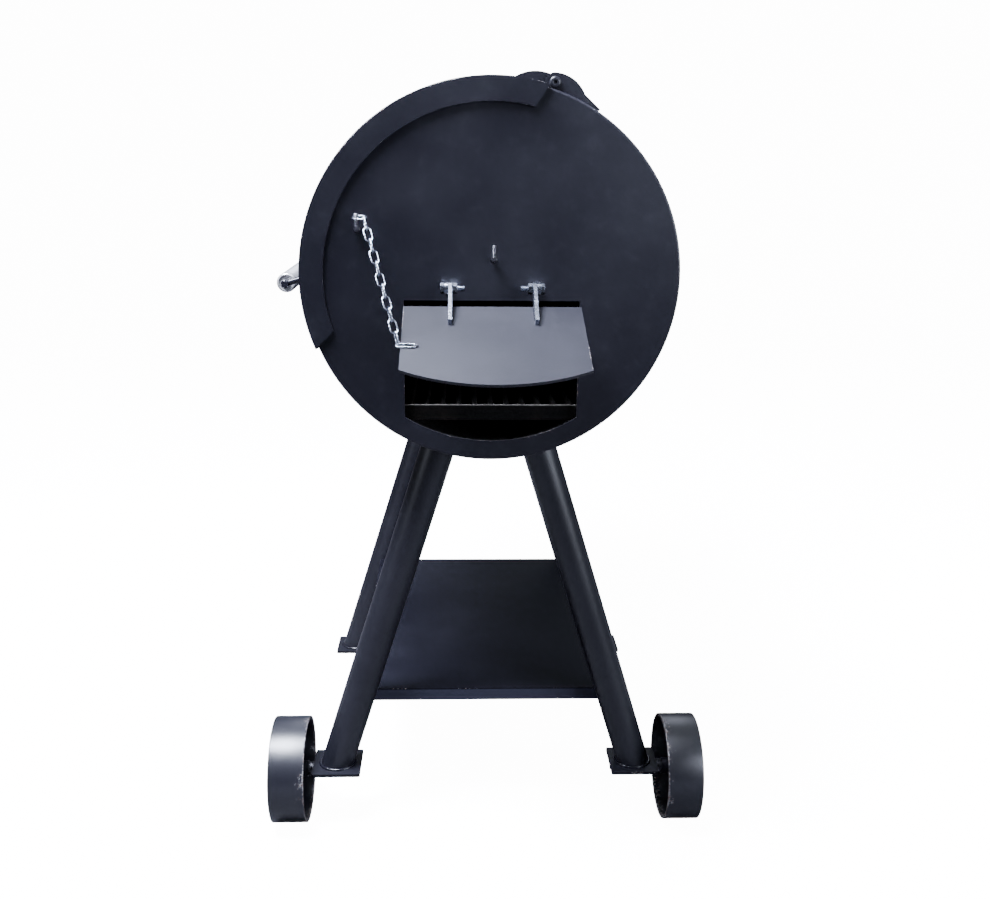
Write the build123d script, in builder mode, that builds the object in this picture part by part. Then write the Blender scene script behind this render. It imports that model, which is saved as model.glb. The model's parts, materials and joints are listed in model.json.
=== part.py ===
from build123d import *
from math import atan2, cos, degrees, radians, sin, sqrt
import os

# Offset smoker made from one horizontal 20-inch pipe drum. Millimetres, +Z up, floor at Z = 0.
# The fire end of the drum faces -Y, and the cook stands at -X, on the handle's side.
# "Depth" is measured along +Y from the outer face of the fire end.

# --- driving dimensions ---------------------------------------------------------------------

# Drum
drum_r = 254.0
drum_wall = 4.0
drum_length = 850.0
end_plate_t = 5.0
end_plate_round = 2.6
axis_z = 878.0
door_rim = 30.0
door_start, door_end = 77.0, 199.0

# Lid, which laps over the outside of the drum
lid_gap = 0.4
lid_t = 3.6
lid_start, lid_end = 74.0, 202.5
flange_t = 3.2
flange_gap = 1.0
flange_inner_r = 226.0
flange_outer_angles = (73.6, 202.4)
flange_inner_angles = (76.3, 198.9)

# Lid hinge: a lug on the drum, a lug on the lid behind it, and a round-headed bolt
pin_x, pin_z = 79.5, 250.3
pin_r = 4.0
running_gap = 0.05
lug_t = 5.0
lug_depth = 12.0
lug_side_gap = 0.4
drum_lug_eye_r = 12.6
lid_lug_eye_r = 7.5
notch_r = 14.0
drum_lug_shoulder, drum_lug_corner = (104.0, 254.5), (119.0, 236.0)
drum_lug_foot_angle = 59.9
drum_lug_root, drum_lug_root_drop = (100.0, 200.0), 20.0
lid_lug_toe_angle, lid_lug_back = 84.2, (50.0, 264.6)
hinge_head_r, hinge_head_h = 7.7, 5.0
hinge_nut_af, hinge_nut_h = 12.6, 6.0
stop_bar_w, stop_bar_t = 30.0, 5.0
stop_bar_corner = (140.0, 217.5)
stop_bar_angle = 137.5

# Handle
handle_x, handle_z = -309.0, -35.0
handle_bar_r = 6.0
standoff_r = 4.5
standoff_root = (-250.0, -18.0)
grip_r = 15.0
grip_start, grip_end = 225.0, 625.0
bar_overhang = 18.0
standoff_inset = 10.0

# Intake opening and its flap, which is the piece cut out of the end plate
intake_half_w = 119.0
intake_top = -31.5
intake_arc_r = 227.0
flap_kerf = 1.2
flap_t = 4.0
flap_proud = 0.4
flap_open = 69.4
flap_pin_out, flap_pin_drop = 17.0, 13.0
flap_pin_r = 4.0
flap_eye_r = 9.0
arm_x, arm_t = 56.2, 5.0
arm_tail = 69.0
arm_root = 6.0
arm_taper = 4.0
arm_depth = 12.0
ear_x, ear_t = 61.7, 5.0
ear_half_h = 8.0
bolt_head_af, bolt_head_h = 13.0, 5.3
bolt_length = 27.0
flap_nut_h = 6.5

# Chain: round steel wire links between a peg on the end plate and the flap
wire_r = 1.2
link_inner_w = 7.2
link_count = 11
link_slack = 0.12
top_link_inner_l = 17.0
peg_r = 3.0
peg_out = 12.0
peg_bend_r = 5.0
peg_upper = (-179.5, 62.0, 83.0)
peg_centre = (2.0, 23.0, 43.0)
top_link_z = 78.0
top_link_heading, top_link_tilt = -25.0, 22.0
top_link_contact = 45.0
link_play = 0.3
end_link_start, end_link_stop = 97.0, 124.6
end_link_down = 105.0
end_link_contact = 62.0
weld_pad_r = 4.5

# Legs, feet and shelf
leg_r, leg_wall = 25.4, 3.0
leg_ref_x, leg_ref_z, leg_slope = 92.4, -318.0, 0.31
near_leg_depth, far_leg_depth = 100.0, 734.0
foot_size, foot_t, foot_corner_r = 76.0, 5.0, 3.0
shelf_half_w, shelf_top_z, shelf_t, shelf_lip = 206.0, 209.0, 2.5, 20.0
shelf_bite = 1.0
leg_overrun = 40.0

# Wheels: rings of 165 mm pipe, each with a disc and a hub welded inside
wheel_r, wheel_wall = 82.5, 5.0
wheel_inner_x, wheel_outer_x = 282.0, 337.0
disc_x, disc_t = 314.0, 5.0
hub_r, hub_x0, hub_x1 = 12.5, 284.0, 321.0
axle_r, axle_x0, axle_x1 = 6.0, 201.0, 336.0
collar_r, collar_x0, collar_x1 = 11.0, 277.0, 283.7
washer_r, washer_t, washer_gap = 12.0, 2.5, 0.3
axle_nut_af, axle_nut_h = 19.0, 10.0

# Fire side and cooking side
fire_grate_half_w, fire_grate_top, fire_grate_h = 145.0, -178.0, 22.0
fire_grate_start, fire_grate_end = 14.0, 320.0
grate_flat_t = 4.0
weld_gap = 0.1
fire_rod_r, fire_rods = 4.0, 13
rail_t, rail_w = 4.0, 30.0
fire_rail_inner_x, cook_rail_inner_x = 125.0, 220.0
baffle_depth, baffle_t, baffle_top = 330.0, 4.0, 30.0
cook_half_w, cook_mid_gap, cook_top, cook_h = 240.0, 2.0, -20.0, 16.0
cook_start, cook_end = 336.0, 838.0
cook_rod_r, cook_rods = 3.0, 12

# Smoke outlet in the far end plate, with a disc that swings down from it
vent_z, vent_r = 130.0, 40.0
vent_disc_r, vent_disc_t, vent_disc_gap = 52.0, 3.0, 0.4
vent_pivot_x, vent_pivot_r = 62.0, 4.0
vent_boss_r = 12.0
vent_head_h, vent_nut_h = 5.0, 6.5
vent_knob_x, vent_knob_r, vent_knob_h = -36.0, 9.0, 22.0

# --- sizes that follow ----------------------------------------------------------------------

lid_inner_r = drum_r + lid_gap
lid_outer_r = lid_inner_r + lid_t
drum_inner_r = drum_r - drum_wall
flap_half_w = intake_half_w - flap_kerf
flap_arc_r = intake_arc_r - flap_kerf
opened = radians(flap_open)

# The flap's back face lies this far below its pin's plane, measured square to the flap
flap_face = -(flap_pin_out - flap_proud)
flap_back = flap_face - flap_t
front_reach = (
    flap_pin_out + (flap_arc_r - flap_pin_drop) * sin(opened) + flap_face * cos(opened)
)
back_reach = drum_length + vent_disc_gap + vent_disc_t + vent_knob_h
near_y = (front_reach - back_reach) / 2

axle_z = wheel_r
near_foot_top = axle_z + axle_r + foot_t

os.makedirs("parts", exist_ok=True)


def save(builder, name):
    """Label a finished piece and write it under its own name."""
    builder.part.label = name
    export_step(builder.part, f"parts/{name}.step")


def face_plane(depth):
    """A plane square to the drum's axis; extruding on it grows towards the fire end."""
    return Plane(origin=(0, near_y + depth, axis_z), x_dir=(1, 0, 0), z_dir=(0, -1, 0))


def side_plane(x):
    """A plane square to X at axle height; extruding on it grows towards +X."""
    return Plane(origin=(x, near_y + near_leg_depth, axle_z), x_dir=(0, 1, 0), z_dir=(1, 0, 0))


def polar(r, angle):
    """A point on a circle about the drum's axis."""
    return (r * cos(radians(angle)), r * sin(radians(angle)))


def sector(r_in, r_out, in_angles, out_angles):
    """A curved strip of the drum's end view, drawn in the open sketch."""
    with BuildLine() as outline:
        CenterArc((0, 0), r_out, out_angles[0], out_angles[1] - out_angles[0])
        CenterArc((0, 0), r_in, in_angles[0], in_angles[1] - in_angles[0])
        for inner, outer in zip(in_angles, out_angles):
            Line(polar(r_in, inner), polar(r_out, outer))
    make_face(outline.edges())


def hexagon(across_flats):
    """A nut's outline in the open sketch."""
    RegularPolygon(radius=across_flats / 2, side_count=6, major_radius=False)


def span(end, start, stop):
    """The depths of something mirrored at the far end of the drum."""
    if end == "near":
        return start, stop
    return drum_length - stop, drum_length - start


def intake_outline(half_w, top, arc_r, centre_y):
    """The opening's shape: three straight sides and an arc that follows the drum."""
    corner_y = centre_y - sqrt(arc_r**2 - half_w**2)
    with BuildLine() as outline:
        Polyline((-half_w, corner_y), (-half_w, top), (half_w, top), (half_w, corner_y))
        ThreePointArc((-half_w, corner_y), (0, centre_y - arc_r), (half_w, corner_y))
    make_face(outline.edges())


# --- drum -----------------------------------------------------------------------------------

with BuildPart() as drum_shell:
    with BuildSketch(face_plane(drum_length - end_plate_t)):
        Circle(drum_r)
        Circle(drum_inner_r, mode=Mode.SUBTRACT)
    extrude(amount=drum_length - 2 * end_plate_t)
    with BuildSketch(face_plane(drum_length - door_rim)):
        sector(drum_inner_r - 10, drum_r + 10, (door_start, door_end), (door_start, door_end))
    extrude(amount=drum_length - 2 * door_rim, mode=Mode.SUBTRACT)
save(drum_shell, "drum_shell")

with BuildPart() as near_end_plate:
    with BuildSketch(face_plane(end_plate_t)):
        Circle(drum_r)
    extrude(amount=end_plate_t)
    fillet(near_end_plate.edges().group_by(Axis.Y)[0], radius=end_plate_round)
    with BuildSketch(face_plane(end_plate_t + 1)):
        intake_outline(intake_half_w, intake_top, intake_arc_r, 0)
    extrude(amount=end_plate_t + 2, mode=Mode.SUBTRACT)
save(near_end_plate, "near_end_plate")

with BuildPart() as far_end_plate:
    with BuildSketch(face_plane(drum_length)):
        Circle(drum_r)
        with Locations((0, vent_z)):
            Circle(vent_r, mode=Mode.SUBTRACT)
        with Locations((vent_pivot_x, vent_z)):
            Circle(vent_pivot_r, mode=Mode.SUBTRACT)
    extrude(amount=end_plate_t)
save(far_end_plate, "far_end_plate")

# --- legs, feet and shelf -------------------------------------------------------------------


def leg_x(z):
    """How far a leg's centre line stands from the middle at a height above the floor."""
    return leg_ref_x + leg_slope * (leg_ref_z - (z - axis_z))


def make_leg(side, depth, foot_top):
    """A round tube, coped to the drum at its top and cut level on its foot."""
    y = near_y + depth
    low_z, top_z = foot_top - leg_overrun, axis_z - drum_r + leg_overrun
    foot = Vector(side * leg_x(low_z), y, low_z)
    top = Vector(side * leg_x(top_z), y, top_z)
    with BuildPart() as leg:
        with BuildSketch(Plane(origin=foot, x_dir=(0, 1, 0), z_dir=top - foot)):
            Circle(leg_r)
            Circle(leg_r - leg_wall, mode=Mode.SUBTRACT)
        extrude(amount=(top - foot).length)
        with BuildSketch(face_plane(depth + 2 * leg_r)):
            Circle(drum_r)
        extrude(amount=4 * leg_r, mode=Mode.SUBTRACT)
        split(bisect_by=Plane.XY.offset(foot_top), keep=Keep.TOP)
    return leg


def make_foot(side, depth, foot_top):
    """A square steel pad under a leg."""
    x = side * leg_x(foot_top)
    with BuildPart() as foot:
        with BuildSketch(Plane.XY.offset(foot_top - foot_t)):
            with Locations((x, near_y + depth)):
                RectangleRounded(foot_size, foot_size, foot_corner_r)
        extrude(amount=foot_t)
    return foot


legs = {}
for row, depth, foot_top in (
    ("near", near_leg_depth, near_foot_top),
    ("far", far_leg_depth, foot_t),
):
    for hand, side in (("left", -1), ("right", 1)):
        legs[row, hand] = make_leg(side, depth, foot_top)
        save(legs[row, hand], f"{row}_{hand}_leg")
        save(make_foot(side, depth, foot_top), f"{row}_{hand}_foot")

shelf_start = near_leg_depth + leg_r - shelf_bite
shelf_end = far_leg_depth - leg_r + shelf_bite
shelf_middle = near_y + (shelf_start + shelf_end) / 2
with BuildPart() as shelf:
    with BuildSketch(Plane.XY.offset(shelf_top_z - shelf_lip)):
        with Locations((0, shelf_middle)):
            RectangleRounded(2 * shelf_half_w, shelf_end - shelf_start, shelf_t)
    extrude(amount=shelf_lip)
    with BuildSketch(Plane.XY.offset(shelf_top_z - shelf_lip)):
        with Locations((0, shelf_middle)):
            Rectangle(2 * (shelf_half_w - shelf_t), shelf_end - shelf_start - 2 * shelf_t)
    extrude(amount=shelf_lip - shelf_t, mode=Mode.SUBTRACT)
    for leg in legs.values():
        add(leg.part, mode=Mode.SUBTRACT)
save(shelf, "shelf")

# --- wheels and axles -----------------------------------------------------------------------


def x_span(side, start, stop):
    """The plane and length of something between two distances from the middle."""
    low = start if side > 0 else -stop
    return side_plane(low), stop - start


def add_ring(side, start, stop, r_out, r_in, sides=0):
    """A ring, washer or nut on an axle, drawn in the open part."""
    plane, length = x_span(side, start, stop)
    with BuildSketch(plane) as outline:
        if sides:
            hexagon(2 * r_out)
        else:
            Circle(r_out)
        if r_in:
            Circle(r_in, mode=Mode.SUBTRACT)
    extrude(outline.sketch, amount=length)


def make_ring(side, *sizes, **options):
    """A ring on one axle, as its own piece."""
    with BuildPart() as ring:
        add_ring(side, *sizes, **options)
    return ring


def make_pair(*sizes, **options):
    """The same ring on both axles, as one group."""
    with BuildPart() as pair:
        for side in (-1, 1):
            add_ring(side, *sizes, **options)
    return pair


washer_x = hub_x1 + washer_gap
nut_x = washer_x + washer_t
for hand, side in (("left", -1), ("right", 1)):
    ring = make_ring(side, wheel_inner_x, wheel_outer_x, wheel_r, wheel_r - wheel_wall)
    save(ring, f"wheel_{hand}_ring")
    disc = make_ring(side, disc_x, disc_x + disc_t, wheel_r - wheel_wall, hub_r)
    save(disc, f"wheel_{hand}_disc")
    save(make_ring(side, hub_x0, hub_x1, hub_r, axle_r + running_gap), f"wheel_{hand}_hub")
    save(make_ring(side, axle_x0, axle_x1, axle_r, 0), f"axle_{hand}")
save(make_pair(collar_x0, collar_x1, collar_r, axle_r), "axle_collars")
save(make_pair(washer_x, nut_x, washer_r, axle_r), "axle_washers")
save(make_pair(nut_x, nut_x + axle_nut_h, axle_nut_af / 2, axle_r, sides=6), "axle_nuts")

# --- lid ------------------------------------------------------------------------------------

with BuildPart() as lid_shell:
    with BuildSketch(face_plane(drum_length + flange_gap)):
        sector(lid_inner_r, lid_outer_r, (lid_start, lid_end), (lid_start, lid_end))
    extrude(amount=drum_length + 2 * flange_gap)
    for end in ("near", "far"):
        start, stop = span(end, lug_depth - 1, lug_depth + lug_t + lug_side_gap / 2)
        with BuildSketch(face_plane(stop)):
            with Locations((pin_x, pin_z)):
                Circle(notch_r)
        extrude(amount=stop - start, mode=Mode.SUBTRACT)
save(lid_shell, "lid_shell")

for end in ("near", "far"):
    start, stop = span(end, -flange_gap - flange_t, -flange_gap)
    with BuildPart() as lid_flange:
        with BuildSketch(face_plane(stop)):
            sector(flange_inner_r, lid_outer_r, flange_inner_angles, flange_outer_angles)
        extrude(amount=stop - start)
    save(lid_flange, f"lid_{end}_flange")

drum_lug_span = (lug_depth, lug_depth + lug_t)
lid_lug_start = lug_depth + lug_t + lug_side_gap
lid_lug_span = (lid_lug_start, lid_lug_start + lug_t)
for end in ("near", "far"):
    start, stop = span(end, *drum_lug_span)
    with BuildPart() as drum_lug:
        with BuildSketch(face_plane(stop)):
            with BuildLine():
                crown = (pin_x + 2, pin_z + drum_lug_eye_r - 0.2)
                ThreePointArc(crown, drum_lug_shoulder, drum_lug_corner)
                foot = polar(drum_r, drum_lug_foot_angle)
                under_pin = (pin_x, pin_z - drum_lug_root_drop)
                Polyline(drum_lug_corner, foot, drum_lug_root, under_pin, crown)
            make_face()
            with Locations((pin_x, pin_z)):
                Circle(drum_lug_eye_r)
            Circle(drum_r, mode=Mode.SUBTRACT)
            with Locations((pin_x, pin_z)):
                Circle(pin_r, mode=Mode.SUBTRACT)
        extrude(amount=stop - start)
    save(drum_lug, f"hinge_lug_{end}")

    start, stop = span(end, *lid_lug_span)
    with BuildPart() as lid_lug:
        with BuildSketch(face_plane(stop)):
            with BuildLine():
                toe = polar(lid_outer_r, lid_lug_toe_angle)
                heel = polar(lid_outer_r, lid_start + 0.2)
                brow = (pin_x - 7.5, pin_z + 11.7)
                ThreePointArc(toe, lid_lug_back, brow)
                Polyline(brow, (pin_x + 5.3, pin_z + 5.3), (pin_x, pin_z), heel)
                ThreePointArc(heel, polar(lid_outer_r, 79), toe)
            make_face()
            with Locations((pin_x, pin_z)):
                Circle(lid_lug_eye_r)
                Circle(pin_r + running_gap, mode=Mode.SUBTRACT)
        extrude(amount=stop - start)
    save(lid_lug, f"lid_lug_{end}")

with BuildPart() as lid_hinge_bolts:
    for end in ("near", "far"):
        head_span = span(end, lug_depth - hinge_head_h, lug_depth)
        shank_span = span(end, lug_depth, lid_lug_span[1] + hinge_nut_h + 2)
        for (start, stop), r in ((head_span, hinge_head_r), (shank_span, pin_r)):
            with BuildSketch(face_plane(stop)):
                with Locations((pin_x, pin_z)):
                    Circle(r)
            extrude(amount=stop - start)
    outer_rims = lid_hinge_bolts.edges().filter_by(GeomType.CIRCLE)
    chamfer([e for e in outer_rims.group_by(Axis.Y)[0] + outer_rims.group_by(Axis.Y)[-1]], 1.6)
save(lid_hinge_bolts, "lid_hinge_bolts")

with BuildPart() as lid_hinge_nuts:
    nut_start = lid_lug_span[1] + lug_side_gap
    for end in ("near", "far"):
        start, stop = span(end, nut_start, nut_start + hinge_nut_h)
        with BuildSketch(face_plane(stop)):
            with Locations((pin_x, pin_z)):
                hexagon(hinge_nut_af)
                Circle(pin_r, mode=Mode.SUBTRACT)
        extrude(amount=stop - start)
save(lid_hinge_nuts, "lid_hinge_nuts")

with BuildPart() as lid_stop_bar:
    with BuildSketch(face_plane(drum_length - drum_lug_span[1])):
        along = Vector(*polar(stop_bar_w, stop_bar_angle))
        across = Vector(*polar(stop_bar_t, stop_bar_angle + 90))
        corner = Vector(*stop_bar_corner)
        with BuildLine():
            Polyline(corner, corner + along, corner + along + across, corner + across, corner)
        make_face()
        Circle(drum_r, mode=Mode.SUBTRACT)
    extrude(amount=drum_length - 2 * drum_lug_span[1])
save(lid_stop_bar, "lid_stop_bar")

# --- handle ---------------------------------------------------------------------------------

bar_start = grip_start - bar_overhang
bar_end = grip_end + bar_overhang
with BuildPart() as handle_bar:
    with BuildSketch(face_plane(bar_end)):
        with Locations((handle_x, handle_z)):
            Circle(handle_bar_r)
    extrude(amount=bar_end - bar_start)
    chamfer(handle_bar.edges().filter_by(GeomType.CIRCLE), length=1)
save(handle_bar, "handle_bar")

with BuildPart() as handle_grip:
    with BuildSketch(face_plane(grip_end)):
        with Locations((handle_x, handle_z)):
            Circle(grip_r)
    extrude(amount=grip_end - grip_start)
    fillet(handle_grip.edges().filter_by(GeomType.CIRCLE), radius=2)
    with BuildSketch(face_plane(grip_end)):
        with Locations((handle_x, handle_z)):
            Circle(handle_bar_r)
    extrude(amount=grip_end - grip_start, mode=Mode.SUBTRACT)
save(handle_grip, "handle_grip")

with BuildPart() as handle_standoffs:
    for depth in (bar_start + standoff_inset, bar_end - standoff_inset):
        root = Vector(standoff_root[0], near_y + depth, axis_z + standoff_root[1])
        tip = Vector(handle_x, near_y + depth, axis_z + handle_z)
        with BuildSketch(Plane(origin=root, x_dir=(0, 1, 0), z_dir=tip - root)):
            Circle(standoff_r)
        extrude(amount=(tip - root).length)
    with BuildSketch(face_plane(drum_length)):
        Circle(lid_outer_r)
        with Locations((handle_x, handle_z)):
            Circle(handle_bar_r)
    extrude(amount=drum_length, mode=Mode.SUBTRACT)
save(handle_standoffs, "handle_standoffs")

# --- intake flap and its hinges -------------------------------------------------------------

flap_pin = Vector(0, near_y - flap_pin_out, axis_z - flap_pin_drop)
flap_up = Vector(0, sin(opened), cos(opened))
flap_out = Vector(0, -cos(opened), sin(opened))


def flap_point(x, up, out):
    """A point in the flap's own axes, counted from the middle of its pin."""
    return flap_pin + Vector(x, 0, 0) + flap_up * up + flap_out * out


flap_top = intake_top - flap_kerf + flap_pin_drop
with BuildPart() as intake_flap:
    with BuildSketch(Plane(origin=flap_point(0, 0, flap_back), x_dir=(1, 0, 0), z_dir=flap_out)):
        intake_outline(flap_half_w, flap_top, flap_arc_r, flap_pin_drop)
    extrude(amount=flap_t)
save(intake_flap, "intake_flap")

with BuildPart() as flap_arms:
    for side in (-1, 1):
        start = flap_point(side * arm_x - arm_t / 2, 0, 0)
        with BuildSketch(Plane(origin=start, x_dir=flap_up, z_dir=(1, 0, 0))):
            with BuildLine():
                CenterArc((0, 0), flap_eye_r, 0, 360)
                back, front = flap_face, flap_face + arm_depth
                root, tail = (-arm_root, back), (-arm_tail, back)
                Polyline(root, tail, (-arm_tail, front - arm_taper), (-arm_root, front), root)
            make_hull()
            Circle(flap_pin_r + running_gap, mode=Mode.SUBTRACT)
        extrude(amount=arm_t)
save(flap_arms, "flap_arms")

with BuildPart() as flap_ears:
    for side in (-1, 1):
        start = (side * ear_x - ear_t / 2, near_y, axis_z - flap_pin_drop)
        with BuildSketch(Plane(origin=start, x_dir=(0, -1, 0), z_dir=(1, 0, 0))):
            with Locations((flap_pin_out / 2, 0)):
                Rectangle(flap_pin_out, 2 * ear_half_h)
            with Locations((flap_pin_out, 0)):
                Circle(ear_half_h)
                Circle(flap_pin_r, mode=Mode.SUBTRACT)
        extrude(amount=ear_t)
save(flap_ears, "flap_ears")


def flap_hinge_plane(side, from_middle):
    """A plane across a flap hinge bolt; extruding on it grows away from the middle."""
    origin = flap_pin + Vector(side * from_middle, 0, 0)
    return Plane(origin=origin, x_dir=(0, 1, 0), z_dir=(side, 0, 0))


head_x = ear_x + ear_t / 2
arm_inner_x = arm_x - arm_t / 2
with BuildPart() as flap_hinge_bolts:
    for side in (-1, 1):
        with BuildSketch(flap_hinge_plane(side, head_x - bolt_length)):
            Circle(flap_pin_r)
        extrude(amount=bolt_length)
        with BuildSketch(flap_hinge_plane(side, head_x)):
            hexagon(bolt_head_af)
        extrude(amount=bolt_head_h)
save(flap_hinge_bolts, "flap_hinge_bolts")

with BuildPart() as flap_hinge_nuts:
    for side in (-1, 1):
        with BuildSketch(flap_hinge_plane(side, arm_inner_x - lug_side_gap - flap_nut_h)):
            hexagon(bolt_head_af)
            Circle(flap_pin_r, mode=Mode.SUBTRACT)
        extrude(amount=flap_nut_h)
save(flap_hinge_nuts, "flap_hinge_nuts")

# --- pegs and chain -------------------------------------------------------------------------

for name, (x, foot_z, top_z) in (("upper", peg_upper), ("centre", peg_centre)):
    stem_y = near_y - peg_out
    with BuildPart() as peg:
        with BuildLine():
            FilletPolyline(
                (x, near_y, axis_z + foot_z),
                (x, stem_y, axis_z + foot_z),
                (x, stem_y, axis_z + top_z),
                radius=peg_bend_r,
            )
        start = Plane(origin=(x, near_y, axis_z + foot_z), x_dir=(1, 0, 0), z_dir=(0, -1, 0))
        with BuildSketch(start):
            Circle(peg_r)
        sweep()
    save(peg, f"chain_peg_{name}")


def make_link(centre, along, normal, inner_l, inner_w):
    """One closed link of round wire, drawn in the open part."""
    plane = Plane(origin=centre, x_dir=along, z_dir=normal)
    bend = inner_w / 2 + wire_r
    half = inner_l / 2 + wire_r - bend
    with BuildLine(plane) as loop:
        Line((-half, bend), (half, bend))
        ThreePointArc((half, bend), (half + bend, 0), (half, -bend))
        Line((half, -bend), (-half, -bend))
        ThreePointArc((-half, -bend), (-half - bend, 0), (-half, bend))
    start = Plane(origin=plane.from_local_coords((0, bend, 0)), z_dir=plane.x_dir)
    with BuildSketch(start) as section:
        Circle(wire_r)
    sweep(sections=section.sketch, path=loop.wires()[0])




def link_contact(centre, along, side, inner_l, angle):
    """Where the next link bears on a link's end, and the wire's direction there."""
    bend = link_inner_w / 2 + wire_r
    half = inner_l / 2 + wire_r - bend
    turn = radians(angle)
    point = centre + along * (half + bend * cos(turn)) + side * (bend * sin(turn))
    return point, side * cos(turn) - along * sin(turn)


heading = Vector(cos(radians(top_link_heading)), sin(radians(top_link_heading)), 0)
level = Vector(-heading.Y, heading.X, 0)
tilt = radians(top_link_tilt)
top_side = level * cos(tilt) + Vector(0, 0, sin(tilt))
top_normal = Vector(0, 0, cos(tilt)) - level * sin(tilt)
upper_peg = Vector(peg_upper[0], near_y - peg_out, axis_z + top_link_z)
top_link_centre = upper_peg + heading * (top_link_inner_l / 2 - peg_r - link_play)
with BuildPart() as chain_top_link:
    make_link(top_link_centre, heading, top_normal, top_link_inner_l, link_inner_w)
save(chain_top_link, "chain_top_link")

end_link_middle = -(end_link_start + end_link_stop) / 2
end_link_up = flap_top - end_link_down
end_link_out = flap_face + wire_r + link_play
end_link_centre = flap_point(end_link_middle, end_link_up, end_link_out)
end_link_inner_l = end_link_stop - end_link_start - 4 * wire_r
weld_pad_x = -end_link_start - wire_r
with BuildPart() as chain_end_link:
    make_link(end_link_centre, Vector(1, 0, 0), flap_out, end_link_inner_l, link_inner_w)
    pad_start = flap_point(weld_pad_x, end_link_up, flap_face)
    with BuildSketch(Plane(origin=pad_start, x_dir=(1, 0, 0), z_dir=flap_out)) as weld_pad:
        Circle(weld_pad_r)
    extrude(weld_pad.sketch, amount=wire_r + link_play)
save(chain_end_link, "chain_end_link")

top_bar, top_tangent = link_contact(
    top_link_centre, heading, top_side, top_link_inner_l, -top_link_contact
)
end_bar, end_tangent = link_contact(
    end_link_centre, Vector(-1, 0, 0), flap_up, end_link_inner_l, end_link_contact
)
reach = end_bar - top_bar
run = reach.normalized()
wire_d = 2 * wire_r
link_inner_l = (reach.length + wire_d + (link_count + 1) * link_slack) / link_count


def square_to_run(direction):
    """The part of a direction that is square to the chain."""
    return (direction - run * direction.dot(run)).normalized()


first_normal = square_to_run(top_tangent)
last_normal = square_to_run(end_tangent)
cross = run.cross(first_normal)
twist = degrees(atan2(last_normal.dot(cross), last_normal.dot(first_normal)))
twist = (twist + 90) % 180 - 90
with BuildPart() as chain_links:
    for i in range(link_count):
        turn = radians(90 * (i % 2) + twist * i / (link_count - 1))
        normal = first_normal * cos(turn) + cross * sin(turn)
        first_offset = link_inner_l / 2 - wire_r - link_slack
        centre = top_bar + run * (first_offset + i * (link_inner_l - link_slack))
        make_link(centre, run, normal, link_inner_l, link_inner_w)
save(chain_links, "chain_links")

# --- inside the drum ------------------------------------------------------------------------


def box_between(x0, x1, depth0, depth1, z0, z1):
    """A plain bar or flat, drawn in the open part; heights count from the drum's axis."""
    with BuildSketch(face_plane(depth1)) as outline:
        with Locations(((x0 + x1) / 2, (z0 + z1) / 2)):
            Rectangle(x1 - x0, z1 - z0)
    extrude(outline.sketch, amount=depth1 - depth0)


def rods_between(xs, z, r, depth0, depth1):
    """Round rods along the drum, drawn in the open part."""
    with BuildSketch(face_plane(depth1)) as outline:
        with Locations([(x, z) for x in xs]):
            Circle(r)
    extrude(outline.sketch, amount=depth1 - depth0)


def make_grate(x0, x1, top, height, start, stop, rod_r, rods):
    """Rods butted between two flat bars on edge, with a third bar under their middles."""
    pitch = (x1 - x0) / rods
    xs = [x0 + pitch * (i + 0.5) for i in range(rods)]
    with BuildPart() as grate:
        box_between(x0, x1, start, start + grate_flat_t, top - height, top)
        box_between(x0, x1, stop - grate_flat_t, stop, top - height, top)
        rod_start, rod_stop = start + grate_flat_t + weld_gap, stop - grate_flat_t - weld_gap
        rods_between(xs, top - rod_r, rod_r, rod_start, rod_stop)
        bar_start = (start + stop - grate_flat_t) / 2
        bar_top = top - 2 * rod_r - weld_gap
        box_between(x0, x1, bar_start, bar_start + grate_flat_t, top - height, bar_top)
    return grate


def make_rails(top, inner_x, start, stop):
    """Two ledges welded to the inside of the drum."""
    with BuildPart() as rails:
        with BuildSketch(face_plane(stop)):
            for side in (-1, 1):
                with Locations((side * (inner_x + rail_w / 2), top - rail_t / 2)):
                    Rectangle(rail_w, rail_t)
            Circle(drum_inner_r, mode=Mode.INTERSECT)
        extrude(amount=stop - start)
    return rails


fire_grate = make_grate(
    -fire_grate_half_w,
    fire_grate_half_w,
    fire_grate_top,
    fire_grate_h,
    fire_grate_start,
    fire_grate_end,
    fire_rod_r,
    fire_rods,
)
save(fire_grate, "fire_grate")
fire_rail_top = fire_grate_top - fire_grate_h
fire_rail_stop = baffle_depth - baffle_t
fire_rails = make_rails(fire_rail_top, fire_rail_inner_x, end_plate_t, fire_rail_stop)
save(fire_rails, "fire_grate_rails")

for hand, side in (("left", -1), ("right", 1)):
    x0, x1 = sorted((side * cook_mid_gap, side * cook_half_w))
    grate = make_grate(
        x0, x1, cook_top, cook_h, cook_start, cook_end, cook_rod_r, cook_rods
    )
    save(grate, f"cooking_grate_{hand}")
cook_rail_top = cook_top - cook_h
cook_rails = make_rails(cook_rail_top, cook_rail_inner_x, baffle_depth, drum_length - end_plate_t)
save(cook_rails, "cooking_grate_rails")

with BuildPart() as fire_baffle:
    with BuildSketch(face_plane(baffle_depth)):
        Circle(drum_inner_r)
        with Locations((0, baffle_top + drum_r)):
            Rectangle(3 * drum_r, 2 * drum_r, mode=Mode.SUBTRACT)
    extrude(amount=baffle_t)
save(fire_baffle, "fire_baffle")

# --- smoke outlet ---------------------------------------------------------------------------

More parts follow.
